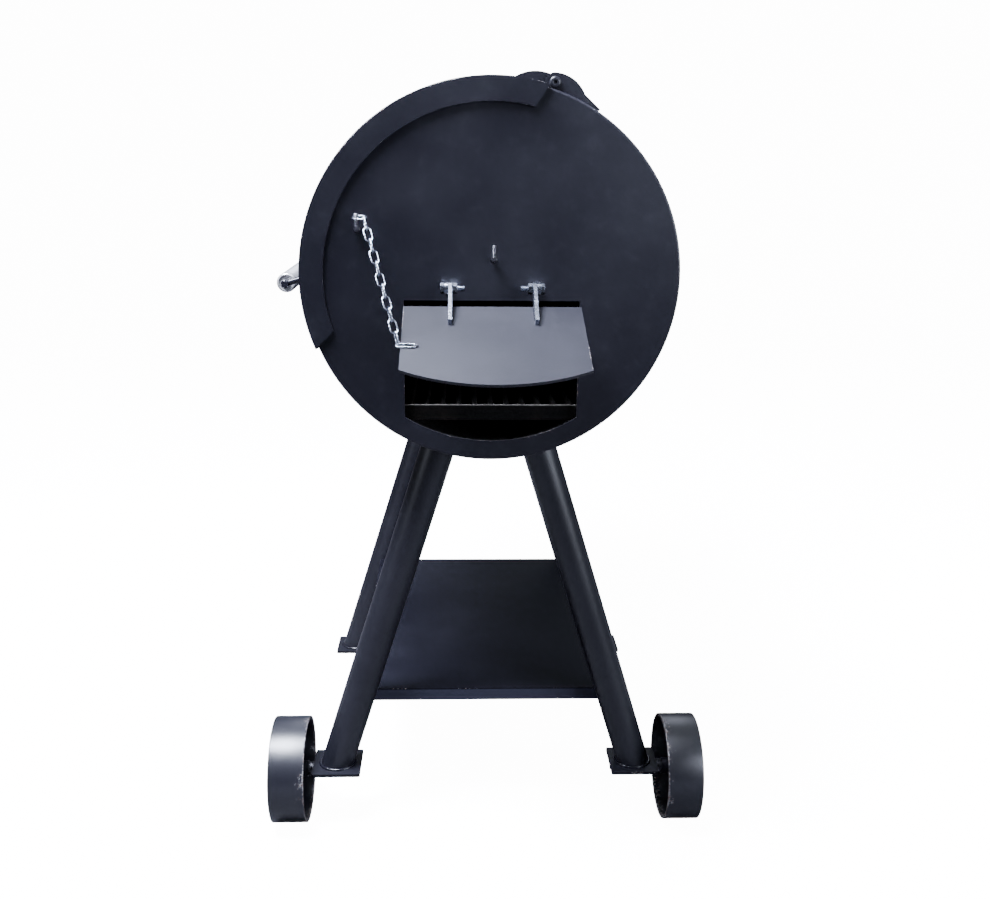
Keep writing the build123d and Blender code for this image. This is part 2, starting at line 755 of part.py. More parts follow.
disc_start = drum_length + vent_disc_gap
disc_stop = disc_start + vent_disc_t
with BuildPart() as vent_disc:
    with BuildSketch(face_plane(disc_stop)):
        with Locations((0, vent_z)):
            Circle(vent_disc_r)
        with Locations((vent_pivot_x, vent_z)):
            Circle(vent_boss_r)
        with Locations((vent_pivot_x / 2, vent_z)):
            Rectangle(vent_pivot_x, 2 * vent_boss_r)
        with Locations((vent_pivot_x, vent_z)):
            Circle(vent_pivot_r + running_gap, mode=Mode.SUBTRACT)
    extrude(amount=vent_disc_t)
save(vent_disc, "vent_disc")

with BuildPart() as vent_knob:
    with BuildSketch(face_plane(disc_stop + vent_knob_h)):
        with Locations((vent_knob_x, vent_z)):
            Circle(vent_knob_r)
    extrude(amount=vent_knob_h)
    fillet(vent_knob.edges().group_by(Axis.Y)[-1], radius=2)
save(vent_knob, "vent_knob")

head_start = disc_stop + vent_disc_gap
shank_start = drum_length - end_plate_t - vent_nut_h - 2
with BuildPart() as vent_bolt:
    with BuildSketch(face_plane(head_start)):
        with Locations((vent_pivot_x, vent_z)):
            Circle(vent_pivot_r)
    extrude(amount=head_start - shank_start)
    with BuildSketch(face_plane(head_start + vent_head_h)):
        with Locations((vent_pivot_x, vent_z)):
            hexagon(bolt_head_af)
    extrude(amount=vent_head_h)
save(vent_bolt, "vent_bolt")

with BuildPart() as vent_nut:
    with BuildSketch(face_plane(drum_length - end_plate_t)):
        with Locations((vent_pivot_x, vent_z)):
            hexagon(bolt_head_af)
            Circle(vent_pivot_r, mode=Mode.SUBTRACT)
    extrude(amount=vent_nut_h)
save(vent_nut, "vent_nut")
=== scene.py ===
"""Finishes the offset smoker: paint, chain, bolts, weld beads, grip, wheels and a studio stage."""

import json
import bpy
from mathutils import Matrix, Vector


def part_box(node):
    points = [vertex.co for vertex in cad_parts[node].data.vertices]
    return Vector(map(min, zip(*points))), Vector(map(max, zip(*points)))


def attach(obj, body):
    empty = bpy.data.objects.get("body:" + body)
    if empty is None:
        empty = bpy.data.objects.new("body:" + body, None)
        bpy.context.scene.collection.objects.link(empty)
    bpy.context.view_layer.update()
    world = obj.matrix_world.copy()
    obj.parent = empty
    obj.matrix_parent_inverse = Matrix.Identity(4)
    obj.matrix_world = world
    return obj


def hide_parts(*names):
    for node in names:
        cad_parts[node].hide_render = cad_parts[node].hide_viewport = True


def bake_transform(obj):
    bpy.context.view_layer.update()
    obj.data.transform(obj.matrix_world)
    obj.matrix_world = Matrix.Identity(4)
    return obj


bl_info = {
    "name": "Offset Smoker Finishing",
    "version": (1, 0, 0),
    "blender": (4, 5, 0),
    "location": "View3D > Sidebar > Smoker",
    "description": "Paints an offset smoker and adds its chain, bolts, welds, grip and wheels",
    "category": "Object",
}

from math import cos, exp, pi, radians, sin, sqrt, tan

import bmesh
import bpy
import numpy as np
from mathutils import Matrix, Vector

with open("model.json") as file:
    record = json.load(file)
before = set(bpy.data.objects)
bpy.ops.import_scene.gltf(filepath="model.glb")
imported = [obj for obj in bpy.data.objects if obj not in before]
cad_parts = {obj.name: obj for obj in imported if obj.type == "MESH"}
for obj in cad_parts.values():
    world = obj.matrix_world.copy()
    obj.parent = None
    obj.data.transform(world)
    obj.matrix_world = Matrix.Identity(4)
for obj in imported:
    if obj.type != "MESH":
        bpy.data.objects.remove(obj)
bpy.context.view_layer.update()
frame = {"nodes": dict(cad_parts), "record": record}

MM = 0.001
BODY = "smoker_body"

# Places that everything else is measured from, in metres
plate_low, plate_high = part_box("near_end_plate")
AXIS_Z = (plate_low.z + plate_high.z) / 2
DRUM_R = (plate_high.z - plate_low.z) / 2
NEAR_Y = plate_low.y
FAR_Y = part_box("far_end_plate")[1].y
LID_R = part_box("lid_shell")[1].z - AXIS_Z
JOINTS = {joint["name"]: joint for joint in frame["record"]["behaviour"]["joints"]}
FLAP_OPEN = radians(-JOINTS["flap_hinge"]["range_deg"][0])
FLAP_UP = Vector((0, sin(FLAP_OPEN), cos(FLAP_OPEN)))
FLAP_OUT = Vector((0, -cos(FLAP_OPEN), sin(FLAP_OPEN)))


# --- mesh helpers ---------------------------------------------------------------------------


def across(axis):
    """Two unit vectors square to an axis and to each other."""
    axis = Vector(axis).normalized()
    helper = Vector((0, 0, 1)) if abs(axis.z) < 0.9 else Vector((1, 0, 0))
    u = helper.cross(axis).normalized()
    return u, axis.cross(u)


def radius_at(radius, phi):
    """A profile's radius is a number, or a function of the angle round the axis."""
    return radius(phi) if callable(radius) else radius


def skin(bm, rings, closed):
    """Faces between neighbouring rings of vertices, and caps where the form is open."""
    pairs = list(zip(rings, rings[1:]))
    if closed:
        pairs.append((rings[-1], rings[0]))
    for low, high in pairs:
        for i in range(len(low)):
            j = (i + 1) % len(low)
            bm.faces.new((low[i], low[j], high[j], high[i]))
    if not closed:
        bm.faces.new(list(reversed(rings[0])))
        bm.faces.new(rings[-1])


def turn(bm, profile, origin, axis, segments=48, closed=False):
    """Turn a profile of (along, radius) points about an axis."""
    u, v = across(axis)
    axis = Vector(axis).normalized()
    rings = []
    for along, radius in profile:
        ring = []
        for i in range(segments):
            phi = 2 * pi * i / segments
            out = (u * cos(phi) + v * sin(phi)) * radius_at(radius, phi)
            ring.append(bm.verts.new(Vector(origin) + axis * along + out))
        rings.append(ring)
    skin(bm, rings, closed)


def run_wire(bm, points, radius, segments=12, closed=False):
    """Round wire along points; the radius may be a function of the distance run."""
    count = len(points)
    travelled, distances = 0.0, []
    for i, point in enumerate(points):
        travelled += (point - points[i - 1]).length if i else 0.0
        distances.append(travelled)
    normal, rings = None, []
    for i, point in enumerate(points):
        before = points[i - 1] if i or closed else point
        after = points[(i + 1) % count] if i + 1 < count or closed else point
        tangent = (after - before).normalized()
        if normal is None:
            normal = across(tangent)[0]
        normal = (normal - tangent * normal.dot(tangent)).normalized()
        side = tangent.cross(normal)
        r = radius_at(radius, distances[i])
        ring = []
        for k in range(segments):
            phi = 2 * pi * k / segments
            ring.append(bm.verts.new(point + (normal * cos(phi) + side * sin(phi)) * r))
        rings.append(ring)
    skin(bm, rings, closed)


def hex_radius(flats):
    """The distance from a hexagon's middle to its edge, as a function of angle."""

    def radius(phi):
        return flats / 2 / cos((phi + pi / 6) % (pi / 3) - pi / 6)

    return radius


def limited(radius, limit):
    """The smaller of a shaped radius and a fixed one."""

    def smaller(phi):
        return min(radius(phi), limit)

    return smaller


def hex_profile(flats, height):
    """A hexagon with its corners chamfered at both ends, as a nut or bolt head has."""
    corner = flats / 2 / cos(pi / 6)
    start = flats * 0.475
    rise = (corner - start) * tan(pi / 6)
    steps = [i / 5 for i in range(6)]
    shape = hex_radius(flats)
    low = [(rise * s, limited(shape, start + (corner - start) * s)) for s in steps]
    high = [(height - along, radius) for along, radius in reversed(low)]
    return low + high


def add_nut(bm, origin, axis, flats, height, bore):
    """A chamfered hexagon nut."""
    profile = [(0.3 * MM, bore), (0, bore + 0.4 * MM)]
    profile += hex_profile(flats, height)
    profile += [(height, bore + 0.4 * MM), (height - 0.3 * MM, bore)]
    turn(bm, profile, origin, axis, 60, closed=True)


def add_thread(bm, origin, axis, radius, length, pitch):
    """A threaded stud with a chamfered end."""
    depth = 0.55 * pitch
    steps = int(length / pitch * 6)

    def row(along):
        end = min(along, length - along)
        limit = radius - depth + end

        def shape(phi):
            phase = (along / pitch - phi / (2 * pi)) % 1
            return min(radius - depth * abs(2 * phase - 1), max(limit, radius - depth))

        return shape

    profile = [(length * i / steps, row(length * i / steps)) for i in range(steps + 1)]
    turn(bm, profile, origin, axis, 20)


def finish_piece(name, bm, material, body, replaces=(), sharp=38):
    """Make the object, give it its material, and hang it on its body."""
    bmesh.ops.recalc_face_normals(bm, faces=bm.faces)
    mesh = bpy.data.meshes.new(name)
    bm.to_mesh(mesh)
    bm.free()
    mesh.polygons.foreach_set("use_smooth", [True] * len(mesh.polygons))
    mesh.set_sharp_from_angle(angle=radians(sharp))
    mesh.materials.append(material)
    piece = bpy.data.objects.new(name, mesh)
    bpy.context.scene.collection.objects.link(piece)
    if replaces:
        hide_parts(*replaces)
    if body:
        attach(piece, body)
    return piece


# --- node helpers ---------------------------------------------------------------------------


def add_node(tree, kind, inputs=None, **settings):
    """Add a shader node, set it up, and join or fill the inputs that are given."""
    node = tree.nodes.new(kind)
    for key, value in settings.items():
        setattr(node, key, value)
    for key, value in (inputs or {}).items():
        if isinstance(value, bpy.types.NodeSocket):
            tree.links.new(value, node.inputs[key])
        else:
            node.inputs[key].default_value = value
    return node


def calc(tree, operation, a, b=0.0):
    """One arithmetic step between numbers or sockets."""
    return add_node(tree, "ShaderNodeMath", {0: a, 1: b}, operation=operation).outputs[0]


def object_place(tree):
    """The place on the piece itself, in metres."""
    return add_node(tree, "ShaderNodeTexCoord").outputs["Object"]


def split_place(tree, place):
    """The X, Y and Z of a place."""
    return add_node(tree, "ShaderNodeSeparateXYZ", {0: place}).outputs


def noise(tree, place, scale, detail=4.0, roughness=0.55):
    """Soft noise at a scale in cycles per metre."""
    inputs = {"Vector": place, "Scale": scale, "Detail": detail, "Roughness": roughness}
    return add_node(tree, "ShaderNodeTexNoise", inputs).outputs["Fac"]


def remap(tree, value, low, high, to_low=0.0, to_high=1.0):
    """Stretch a range of a value smoothly onto another range."""
    inputs = {0: value, 1: low, 2: high, 3: to_low, 4: to_high}
    node = add_node(tree, "ShaderNodeMapRange", inputs, interpolation_type="SMOOTHSTEP")
    return node.outputs[0]


def blend_colours(tree, mask, first, second):
    """First where the mask is 0, second where it is 1."""
    inputs = {0: mask, 6: first, 7: second}
    return add_node(tree, "ShaderNodeMix", inputs, data_type="RGBA").outputs[2]


def blend_values(tree, mask, first, second):
    """First where the mask is 0, second where it is 1."""
    return add_node(tree, "ShaderNodeMix", {0: mask, 2: first, 3: second}).outputs[0]


def new_group(name, inputs, outputs):
    """A node group with named sockets, and its inside ends."""
    group = bpy.data.node_groups.new(name, "ShaderNodeTree")
    for label, kind, default in inputs:
        socket = group.interface.new_socket(label, in_out="INPUT", socket_type=kind)
        socket.default_value = default
    for label, kind in outputs:
        group.interface.new_socket(label, in_out="OUTPUT", socket_type=kind)
    start = group.nodes.new("NodeGroupInput")
    end = group.nodes.new("NodeGroupOutput")
    return group, start.outputs, end.inputs


NUMBER, COLOUR = "NodeSocketFloat", "NodeSocketColor"


def build_drum_distance():
    """How far a point is from the drum's axis, and how far behind its fire end, in metres."""
    group, _, out = new_group("Drum distance", [], [("Radius", NUMBER), ("Depth", NUMBER)])
    axes = split_place(group, object_place(group))
    height = calc(group, "SUBTRACT", axes[2], AXIS_Z)
    across_sq = calc(group, "MULTIPLY", axes[0], axes[0])
    height_sq = calc(group, "MULTIPLY", height, height)
    radius = calc(group, "SQRT", calc(group, "ADD", across_sq, height_sq))
    group.links.new(radius, out["Radius"])
    group.links.new(calc(group, "SUBTRACT", axes[1], NEAR_Y), out["Depth"])
    return group


def build_sprayed_paint():
    """Satin paint: a slight drift of tone, orange peel and handling marks."""
    group, given, out = new_group(
        "Sprayed paint",
        [
            ("Colour", COLOUR, (0.02, 0.02, 0.026, 1)),
            ("Dust", NUMBER, 0.25),
            ("Roughness", NUMBER, 0.36),
            ("Peel scale", NUMBER, 520.0),
        ],
        [("Colour", COLOUR), ("Roughness", NUMBER), ("Height", NUMBER)],
    )
    place = object_place(group)
    drift = noise(group, place, 5.0, 5.0)
    dust = remap(group, noise(group, place, 46.0, 8.0, 0.7), 0.5, 0.78)
    specks = remap(group, noise(group, place, 1500.0, 2.0), 0.68, 0.8)
    pale = (0.06, 0.062, 0.078, 1)
    tone = calc(group, "MULTIPLY", remap(group, drift, 0.35, 0.7), 0.1)
    colour = blend_colours(group, tone, given["Colour"], pale)
    amount = calc(group, "MULTIPLY", calc(group, "ADD", dust, specks), given["Dust"])
    film = calc(group, "MULTIPLY", amount, 0.3)
    group.links.new(blend_colours(group, film, colour, pale), out["Colour"])
    handled = calc(group, "MULTIPLY", calc(group, "SUBTRACT", drift, 0.5), 0.16)
    rough = calc(group, "ADD", given["Roughness"], handled)
    marks = calc(group, "MULTIPLY", amount, 0.22)
    group.links.new(calc(group, "ADD", rough, marks), out["Roughness"])
    peel = add_node(
        group,
        "ShaderNodeTexNoise",
        {"Vector": place, "Scale": given["Peel scale"], "Detail": 2.0},
    ).outputs["Fac"]
    waves = calc(group, "MULTIPLY", noise(group, place, 26.0, 2.0), 1.8)
    group.links.new(calc(group, "ADD", peel, waves), out["Height"])
    return group


def build_chipped_edge():
    """Chips where the paint has come off close to an edge."""
    group, given, out = new_group(
        "Chipped edge",
        [("Edge", NUMBER, 0.0), ("Amount", NUMBER, 0.5), ("Chip scale", NUMBER, 260.0)],
        [("Mask", NUMBER), ("Rust", NUMBER)],
    )
    place = object_place(group)
    fine = add_node(
        group,
        "ShaderNodeTexNoise",
        {"Vector": place, "Scale": given["Chip scale"], "Detail": 6.0, "Roughness": 0.7},
    ).outputs["Fac"]
    patch = remap(group, noise(group, place, 19.0, 3.0), 0.42, 0.62)
    lively = calc(group, "ADD", fine, calc(group, "MULTIPLY", patch, 0.26))
    reach = calc(group, "MULTIPLY", given["Edge"], given["Amount"])
    worn = calc(group, "ADD", lively, calc(group, "MULTIPLY", reach, 0.5))
    mask = remap(group, worn, 0.97, 1.03)
    group.links.new(calc(group, "MULTIPLY", mask, remap(group, reach, 0.02, 0.2)), out["Mask"])
    group.links.new(remap(group, noise(group, place, 420.0, 5.0), 0.42, 0.62), out["Rust"])
    return group


def build_soot():
    """Baked-on smoke: brown-black, flaky and dull."""
    group, _, out = new_group(
        "Soot", [], [("Colour", COLOUR), ("Roughness", NUMBER), ("Height", NUMBER)]
    )
    place = object_place(group)
    cloud = noise(group, place, 14.0, 8.0, 0.65)
    flakes = noise(group, place, 240.0, 6.0, 0.7)
    brown = remap(group, cloud, 0.45, 0.75)
    colour = blend_colours(group, brown, (0.0016, 0.0015, 0.0014, 1), (0.006, 0.0045, 0.0035, 1))
    ash = calc(group, "MULTIPLY", remap(group, flakes, 0.62, 0.8), 0.06)
    group.links.new(blend_colours(group, ash, colour, (0.08, 0.075, 0.07, 1)), out["Colour"])
    group.links.new(remap(group, flakes, 0.3, 0.7, 0.62, 0.92), out["Roughness"])
    group.links.new(flakes, out["Height"])
    return group


def build_plated_metal():
    """Bright metal with fine lines, spangle and a little dulling."""
    group, given, out = new_group(
        "Plated metal",
        [
            ("Colour", COLOUR, (0.6, 0.61, 0.63, 1)),
            ("Shade", COLOUR, (0.32, 0.33, 0.36, 1)),
            ("Roughness", NUMBER, 0.26),
            ("Line stretch", NUMBER, 1.0),
            ("Dulling", NUMBER, 1.0),
        ],
        [("Colour", COLOUR), ("Roughness", NUMBER), ("Height", NUMBER)],
    )
    place = object_place(group)
    squeeze = add_node(
        group, "ShaderNodeCombineXYZ", {0: 1.0, 1: given["Line stretch"], 2: 1.0}
    ).outputs[0]
    stretched = add_node(
        group, "ShaderNodeVectorMath", {0: place, 1: squeeze}, operation="MULTIPLY"
    ).outputs[0]
    lines = noise(group, stretched, 1400.0, 3.0)
    dull = remap(group, noise(group, place, 130.0, 5.0, 0.65), 0.46, 0.72)
    dull = calc(group, "MULTIPLY", dull, given["Dulling"])
    group.links.new(blend_colours(group, dull, given["Colour"], given["Shade"]), out["Colour"])
    dulled = calc(group, "MULTIPLY", dull, 0.2)
    scratch = calc(group, "MULTIPLY", calc(group, "SUBTRACT", lines, 0.5), 0.18)
    rough = calc(group, "ADD", given["Roughness"], calc(group, "ADD", dulled, scratch))
    group.links.new(rough, out["Roughness"])
    group.links.new(lines, out["Height"])
    return group


GROUP_BUILDERS = {
    "Drum distance": build_drum_distance,
    "Sprayed paint": build_sprayed_paint,
    "Chipped edge": build_chipped_edge,
    "Soot": build_soot,
    "Plated metal": build_plated_metal,
}


def use_group(tree, name, inputs=None):
    """Place a shared node group, building it the first time."""
    group = bpy.data.node_groups.get(name) or GROUP_BUILDERS[name]()
    node = tree.nodes.new("ShaderNodeGroup")
    node.node_tree = group
    for key, value in (inputs or {}).items():
        if isinstance(value, bpy.types.NodeSocket):
            tree.links.new(value, node.inputs[key])
        else:
            node.inputs[key].default_value = value
    return node.outputs


def start_material(name):
    """An empty material with its Principled shader and output joined."""
    material = bpy.data.materials.new(name)
    material.use_nodes = True
    tree = material.node_tree
    shader = tree.nodes["Principled BSDF"]
    return material, tree, shader


def join_surface(tree, shader, colour, roughness, height, bump, metallic=None):
    """Feed a surface's maps to its shader."""
    tree.links.new(colour, shader.inputs["Base Color"])
    tree.links.new(roughness, shader.inputs["Roughness"])
    if metallic is not None:
        tree.links.new(metallic, shader.inputs["Metallic"])
    node = add_node(tree, "ShaderNodeBump", {"Height": height, "Strength": 1.0, "Distance": bump})
    tree.links.new(node.outputs[0], shader.inputs["Normal"])


def near_value(tree, value, centre, width):
    """1 where a value is at a centre, falling to 0 a width away."""
    away = calc(tree, "ABSOLUTE", calc(tree, "SUBTRACT", value, centre))
    return remap(tree, away, 0.0, width, 1.0, 0.0)


def paint_material(
    name,
    edges=None,
    soot=None,
    roughness=None,
    dust=None,
    chips=None,
    peel=520.0,
    shine=0.5,
    pale=None,
):
    """Satin black paint: chips where edges() says, soot where soot() says, and a lighter tone
    where pale() says, painted on to stand in for light.
    """
    settings = bpy.context.scene.smoker_paint
    material, tree, shader = start_material(name)
    paint = use_group(
        tree,
        "Sprayed paint",
        {
            "Colour": (*settings.colour, 1),
            "Dust": settings.dust if dust is None else dust,
            "Roughness": settings.roughness if roughness is None else roughness,
            "Peel scale": peel,
        },
    )
    colour, rough, height = paint["Colour"], paint["Roughness"], paint["Height"]
    metallic = None
    drum, axes = use_group(tree, "Drum distance"), split_place(tree, object_place(tree))
    # Painted light: where pale() says, the paint turns a pale blue-grey for the light those faces
    # catch.
    if pale:
        colour = blend_colours(tree, pale(tree, drum, axes), colour, (0.036, 0.037, 0.055, 1))
    if edges:
        worn = settings.chips if chips is None else chips
        inputs = {"Edge": edges(tree, drum, axes), "Amount": worn}
        chip = use_group(tree, "Chipped edge", inputs)
        steel = blend_colours(tree, chip["Rust"], (0.4, 0.4, 0.41, 1), (0.16, 0.1, 0.07, 1))
        colour = blend_colours(tree, chip["Mask"], colour, steel)
        rough = blend_values(tree, chip["Mask"], rough, 0.5)
        height = calc(tree, "SUBTRACT", height, calc(tree, "MULTIPLY", chip["Mask"], 2.0))
        metallic = calc(tree, "MULTIPLY", chip["Mask"], 0.8)
    if soot:
        mask = soot(tree, drum, axes)
        smoked = use_group(tree, "Soot")
        colour = blend_colours(tree, mask, colour, smoked["Colour"])
        rough = blend_values(tree, mask, rough, smoked["Roughness"])
        height = blend_values(tree, mask, height, smoked["Height"])
    shader.inputs["Specular IOR Level"].default_value = shine
    join_surface(tree, shader, colour, rough, height, 0.00006, metallic)
    return material


def sooty_material(name, edges=None):
    """Bare steel that lives in the smoke, worn bright where edges() says."""
    material, tree, shader = start_material(name)
    smoked = use_group(tree, "Soot")
    colour = smoked["Colour"]
    if edges:
        drum, axes = use_group(tree, "Drum distance"), split_place(tree, object_place(tree))
        colour = blend_colours(tree, edges(tree, drum, axes), colour, (0.2, 0.19, 0.17, 1))
    shader.inputs["Specular IOR Level"].default_value = 0.06
    join_surface(tree, shader, colour, smoked["Roughness"], smoked["Height"], 0.0003)
    return material


def plated_material(name, colour, shade, roughness, stretch=1.0, dulling=1.0, metallic=1.0):
    """Zinc, stainless or oiled steel."""
    material, tree, shader = start_material(name)
    metal = use_group(
        tree,
        "Plated metal",
        {
            "Colour": (*colour, 1),
            "Shade": (*shade, 1),
            "Roughness": roughness,
            "Line stretch": stretch,
            "Dulling": dulling,
        },
    )
    shader.inputs["Metallic"].default_value = metallic
    join_surface(tree, shader, metal["Colour"], metal["Roughness"], metal["Height"], 0.000008)
    return material


# --- where each painted piece is worn or smoked, and where light is painted on ----------------


# The air opening: half its width, its top edge below the axis, and its curved edge's radius
OPENING_HALF, OPENING_DROP, OPENING_R = 0.119, 0.0315, 0.227
FLANGE_INNER_R = 0.226


def measure(tree, drum, axes, name):
    """A measure that masks are made from: Radius, Depth, x, y, z, or aside for x either way."""
    if name in ("Radius", "Depth"):
        return drum[name]
    if name == "aside":
        return calc(tree, "ABSOLUTE", axes[0])
    return axes["xyz".index(name)]


def band(name, centre, width, strength=1.0):
    """A mask that is strongest where a measure is at a centre."""

    def mask(tree, drum, axes):
        strip = near_value(tree, measure(tree, drum, axes, name), centre, width)
        return calc(tree, "MULTIPLY", strip, strength)

    return mask


def ramp(name, low, high, start=0.0, stop=1.0):
    """A mask that goes from one strength to another along a measure."""

    def mask(tree, drum, axes):
        return remap(tree, measure(tree, drum, axes, name), low, high, start, stop)

    return mask


def combined(operation, *masks):
    """Several masks multiplied, or the largest of them."""

    def mask(tree, drum, axes):
        whole = masks[0](tree, drum, axes)
        for part in masks[1:]:
            whole = calc(tree, operation, whole, part(tree, drum, axes))
        return whole

    return mask


def both(*masks):
    """Only where all the masks are."""
    return combined("MULTIPLY", *masks)


def either(*masks):
    """Wherever any of the masks is."""
    return combined("MAXIMUM", *masks)


def plate_wear_and_rim_highlight():
    """Chips at the drum's rim and at the straight and curved edges of the air opening; the rim's
    chips grow towards +X as a painted highlight.
    """
    top = AXIS_Z - OPENING_DROP
    faint = 0.45
    within = ramp("aside", OPENING_HALF, OPENING_HALF + 0.002, 1, 0)
    side = both(
        band("aside", OPENING_HALF, 0.0022, faint),
        ramp("z", top - 0.001, top + 0.001, 1, 0),
        ramp("Radius", OPENING_R, OPENING_R + 0.002, 1, 0),
    )
    head = both(band("z", top, 0.002, faint), within)
    low = ramp("z", AXIS_Z - 0.19, AXIS_Z - 0.18, 1, 0)
    arc = both(band("Radius", OPENING_R, 0.0022, faint), low, within)
    # Rim chips: partly wear all round, partly a painted highlight that gets stronger towards the
    # right (+X).
    rim = both(band("Radius", DRUM_R, 0.0022), ramp("x", 0.1, 0.22, 0.35, 1))
    return either(rim, side, head, arc)


def lid_wear_and_top_highlight():
    """Chips on the lid's two curved ends; the near end's chips grow towards its top as a painted
    highlight along the lid's top edge.
    """
    # Painted highlight: the near end's chips grow up to 2.4 times stronger towards the top of the
    # lid.
    top_highlight_boost = ramp("z", AXIS_Z + 0.2, AXIS_Z + 0.235, 1, 2.4)
    return either(both(band("y", NEAR_Y - 0.001, 0.004), top_highlight_boost), band("y", FAR_Y + 0.001, 0.004))


def wheel_wear():
    """Both rims of each wheel, with more wear on the inner one."""
    low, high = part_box("wheel_right_ring")
    inner, scuffs = band("aside", low.x, 0.0042), band("aside", low.x, 0.022, 0.5)
    return either(inner, scuffs, band("aside", high.x, 0.0042, 0.5))


def foot_wear():
    """The rims of the foot pads."""
    masks = []
    for row in ("near", "far"):
        low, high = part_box(f"{row}_right_foot")
        masks += [band("aside", x, 0.003) for x in (low.x, high.x)]
        masks.append(band("y", low.y, 0.003))
    return either(*masks)


def shelf_wear():
    """The folded edges of the shelf."""
    low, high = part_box("shelf")
    edges = either(band("y", low.y, 0.003), band("aside", high.x, 0.003))
    return both(edges, band("z", high.z, 0.0025))


# --- settings -------------------------------------------------------------------------------


def colour_setting(name, description, default):
    """A colour in the panel."""
    return bpy.props.FloatVectorProperty(
        name=name, description=description, default=default, subtype="COLOR", min=0.0, max=1.0
    )


def share_setting(name, description, default):
    """A share between 0 and 1 in the panel."""
    return bpy.props.FloatProperty(
        name=name, description=description, default=default, subtype="FACTOR", min=0.0, max=1.0
    )


def length_setting(name, description, default):
    """A length in the panel."""
    return bpy.props.FloatProperty(
        name=name, description=description, default=default, unit="LENGTH"
    )


def angle_setting(name, description, default):
    """An angle in the panel."""
    return bpy.props.FloatProperty(
        name=name, description=description, default=default, subtype="ANGLE"
    )


class SmokerPaintSettings(bpy.types.PropertyGroup):
    """The smoker's paint."""

    colour: colour_setting(
        "Paint colour", "Colour of the satin black paint", (0.0062, 0.0061, 0.0102)
    )
    roughness: share_setting("Paint roughness", "How dull the paint is", 0.36)
    dust: share_setting("Dust", "How much dust and handling shows on the paint", 0.25)
    chips: share_setting("Chips", "How worn the painted edges are", 0.6)


class SmokerMetalSettings(bpy.types.PropertyGroup):
    """The bare and plated metal."""

    zinc: colour_setting(
        "Zinc colour", "Colour of the plated chain, hinges and bolts", (0.42, 0.45, 0.52)
    )
    stainless: colour_setting(
        "Grip colour", "Colour of the polished handle grip", (0.9, 0.9, 0.9)
    )
    bead_radius: length_setting("Weld bead radius", "Half the width of a weld bead", 2.6 * MM)
    ripple: length_setting(
        "Weld ripple", "Distance between the ripples of a weld bead", 2.4 * MM
    )


class SmokerStageSettings(bpy.types.PropertyGroup):
    """The camera and the studio round the smoker."""

    distance: length_setting(
        "Camera distance", "From the camera to the drum's fire end, level", 1.499
    )
    rise: length_setting("Camera rise", "Height of the camera above the drum's axis", 0.1633)
    offset: length_setting(
        "Camera offset", "How far the camera stands to the side of the drum's axis", -0.0488
    )
    pitch: angle_setting("Camera pitch", "How far the camera looks down", radians(15.016))
    yaw: angle_setting("Camera yaw", "How far the camera turns to the right", radians(2.097))
    roll: angle_setting("Camera roll", "How far the camera leans", radians(0.6))
    lens: bpy.props.FloatProperty(
        name="Focal length", description="Focal length on a sensor 36 mm wide", default=40.43
    )
    floor: colour_setting("Floor colour", "Colour of the studio floor", (0.9, 0.9, 0.9))
    glow: bpy.props.FloatProperty(
        name="Floor brightness",
        description="How strongly the floor shines where it is seen directly",
        default=14.0,
        min=0.0,
    )


# --- pieces ---------------------------------------------------------------------------------


def fetch(name):
    """A material that the paint operator has made."""
    material = bpy.data.materials.get(name)
    if material is None:
        raise RuntimeError(f"make the finishes first: there is no {name!r}")
    return material


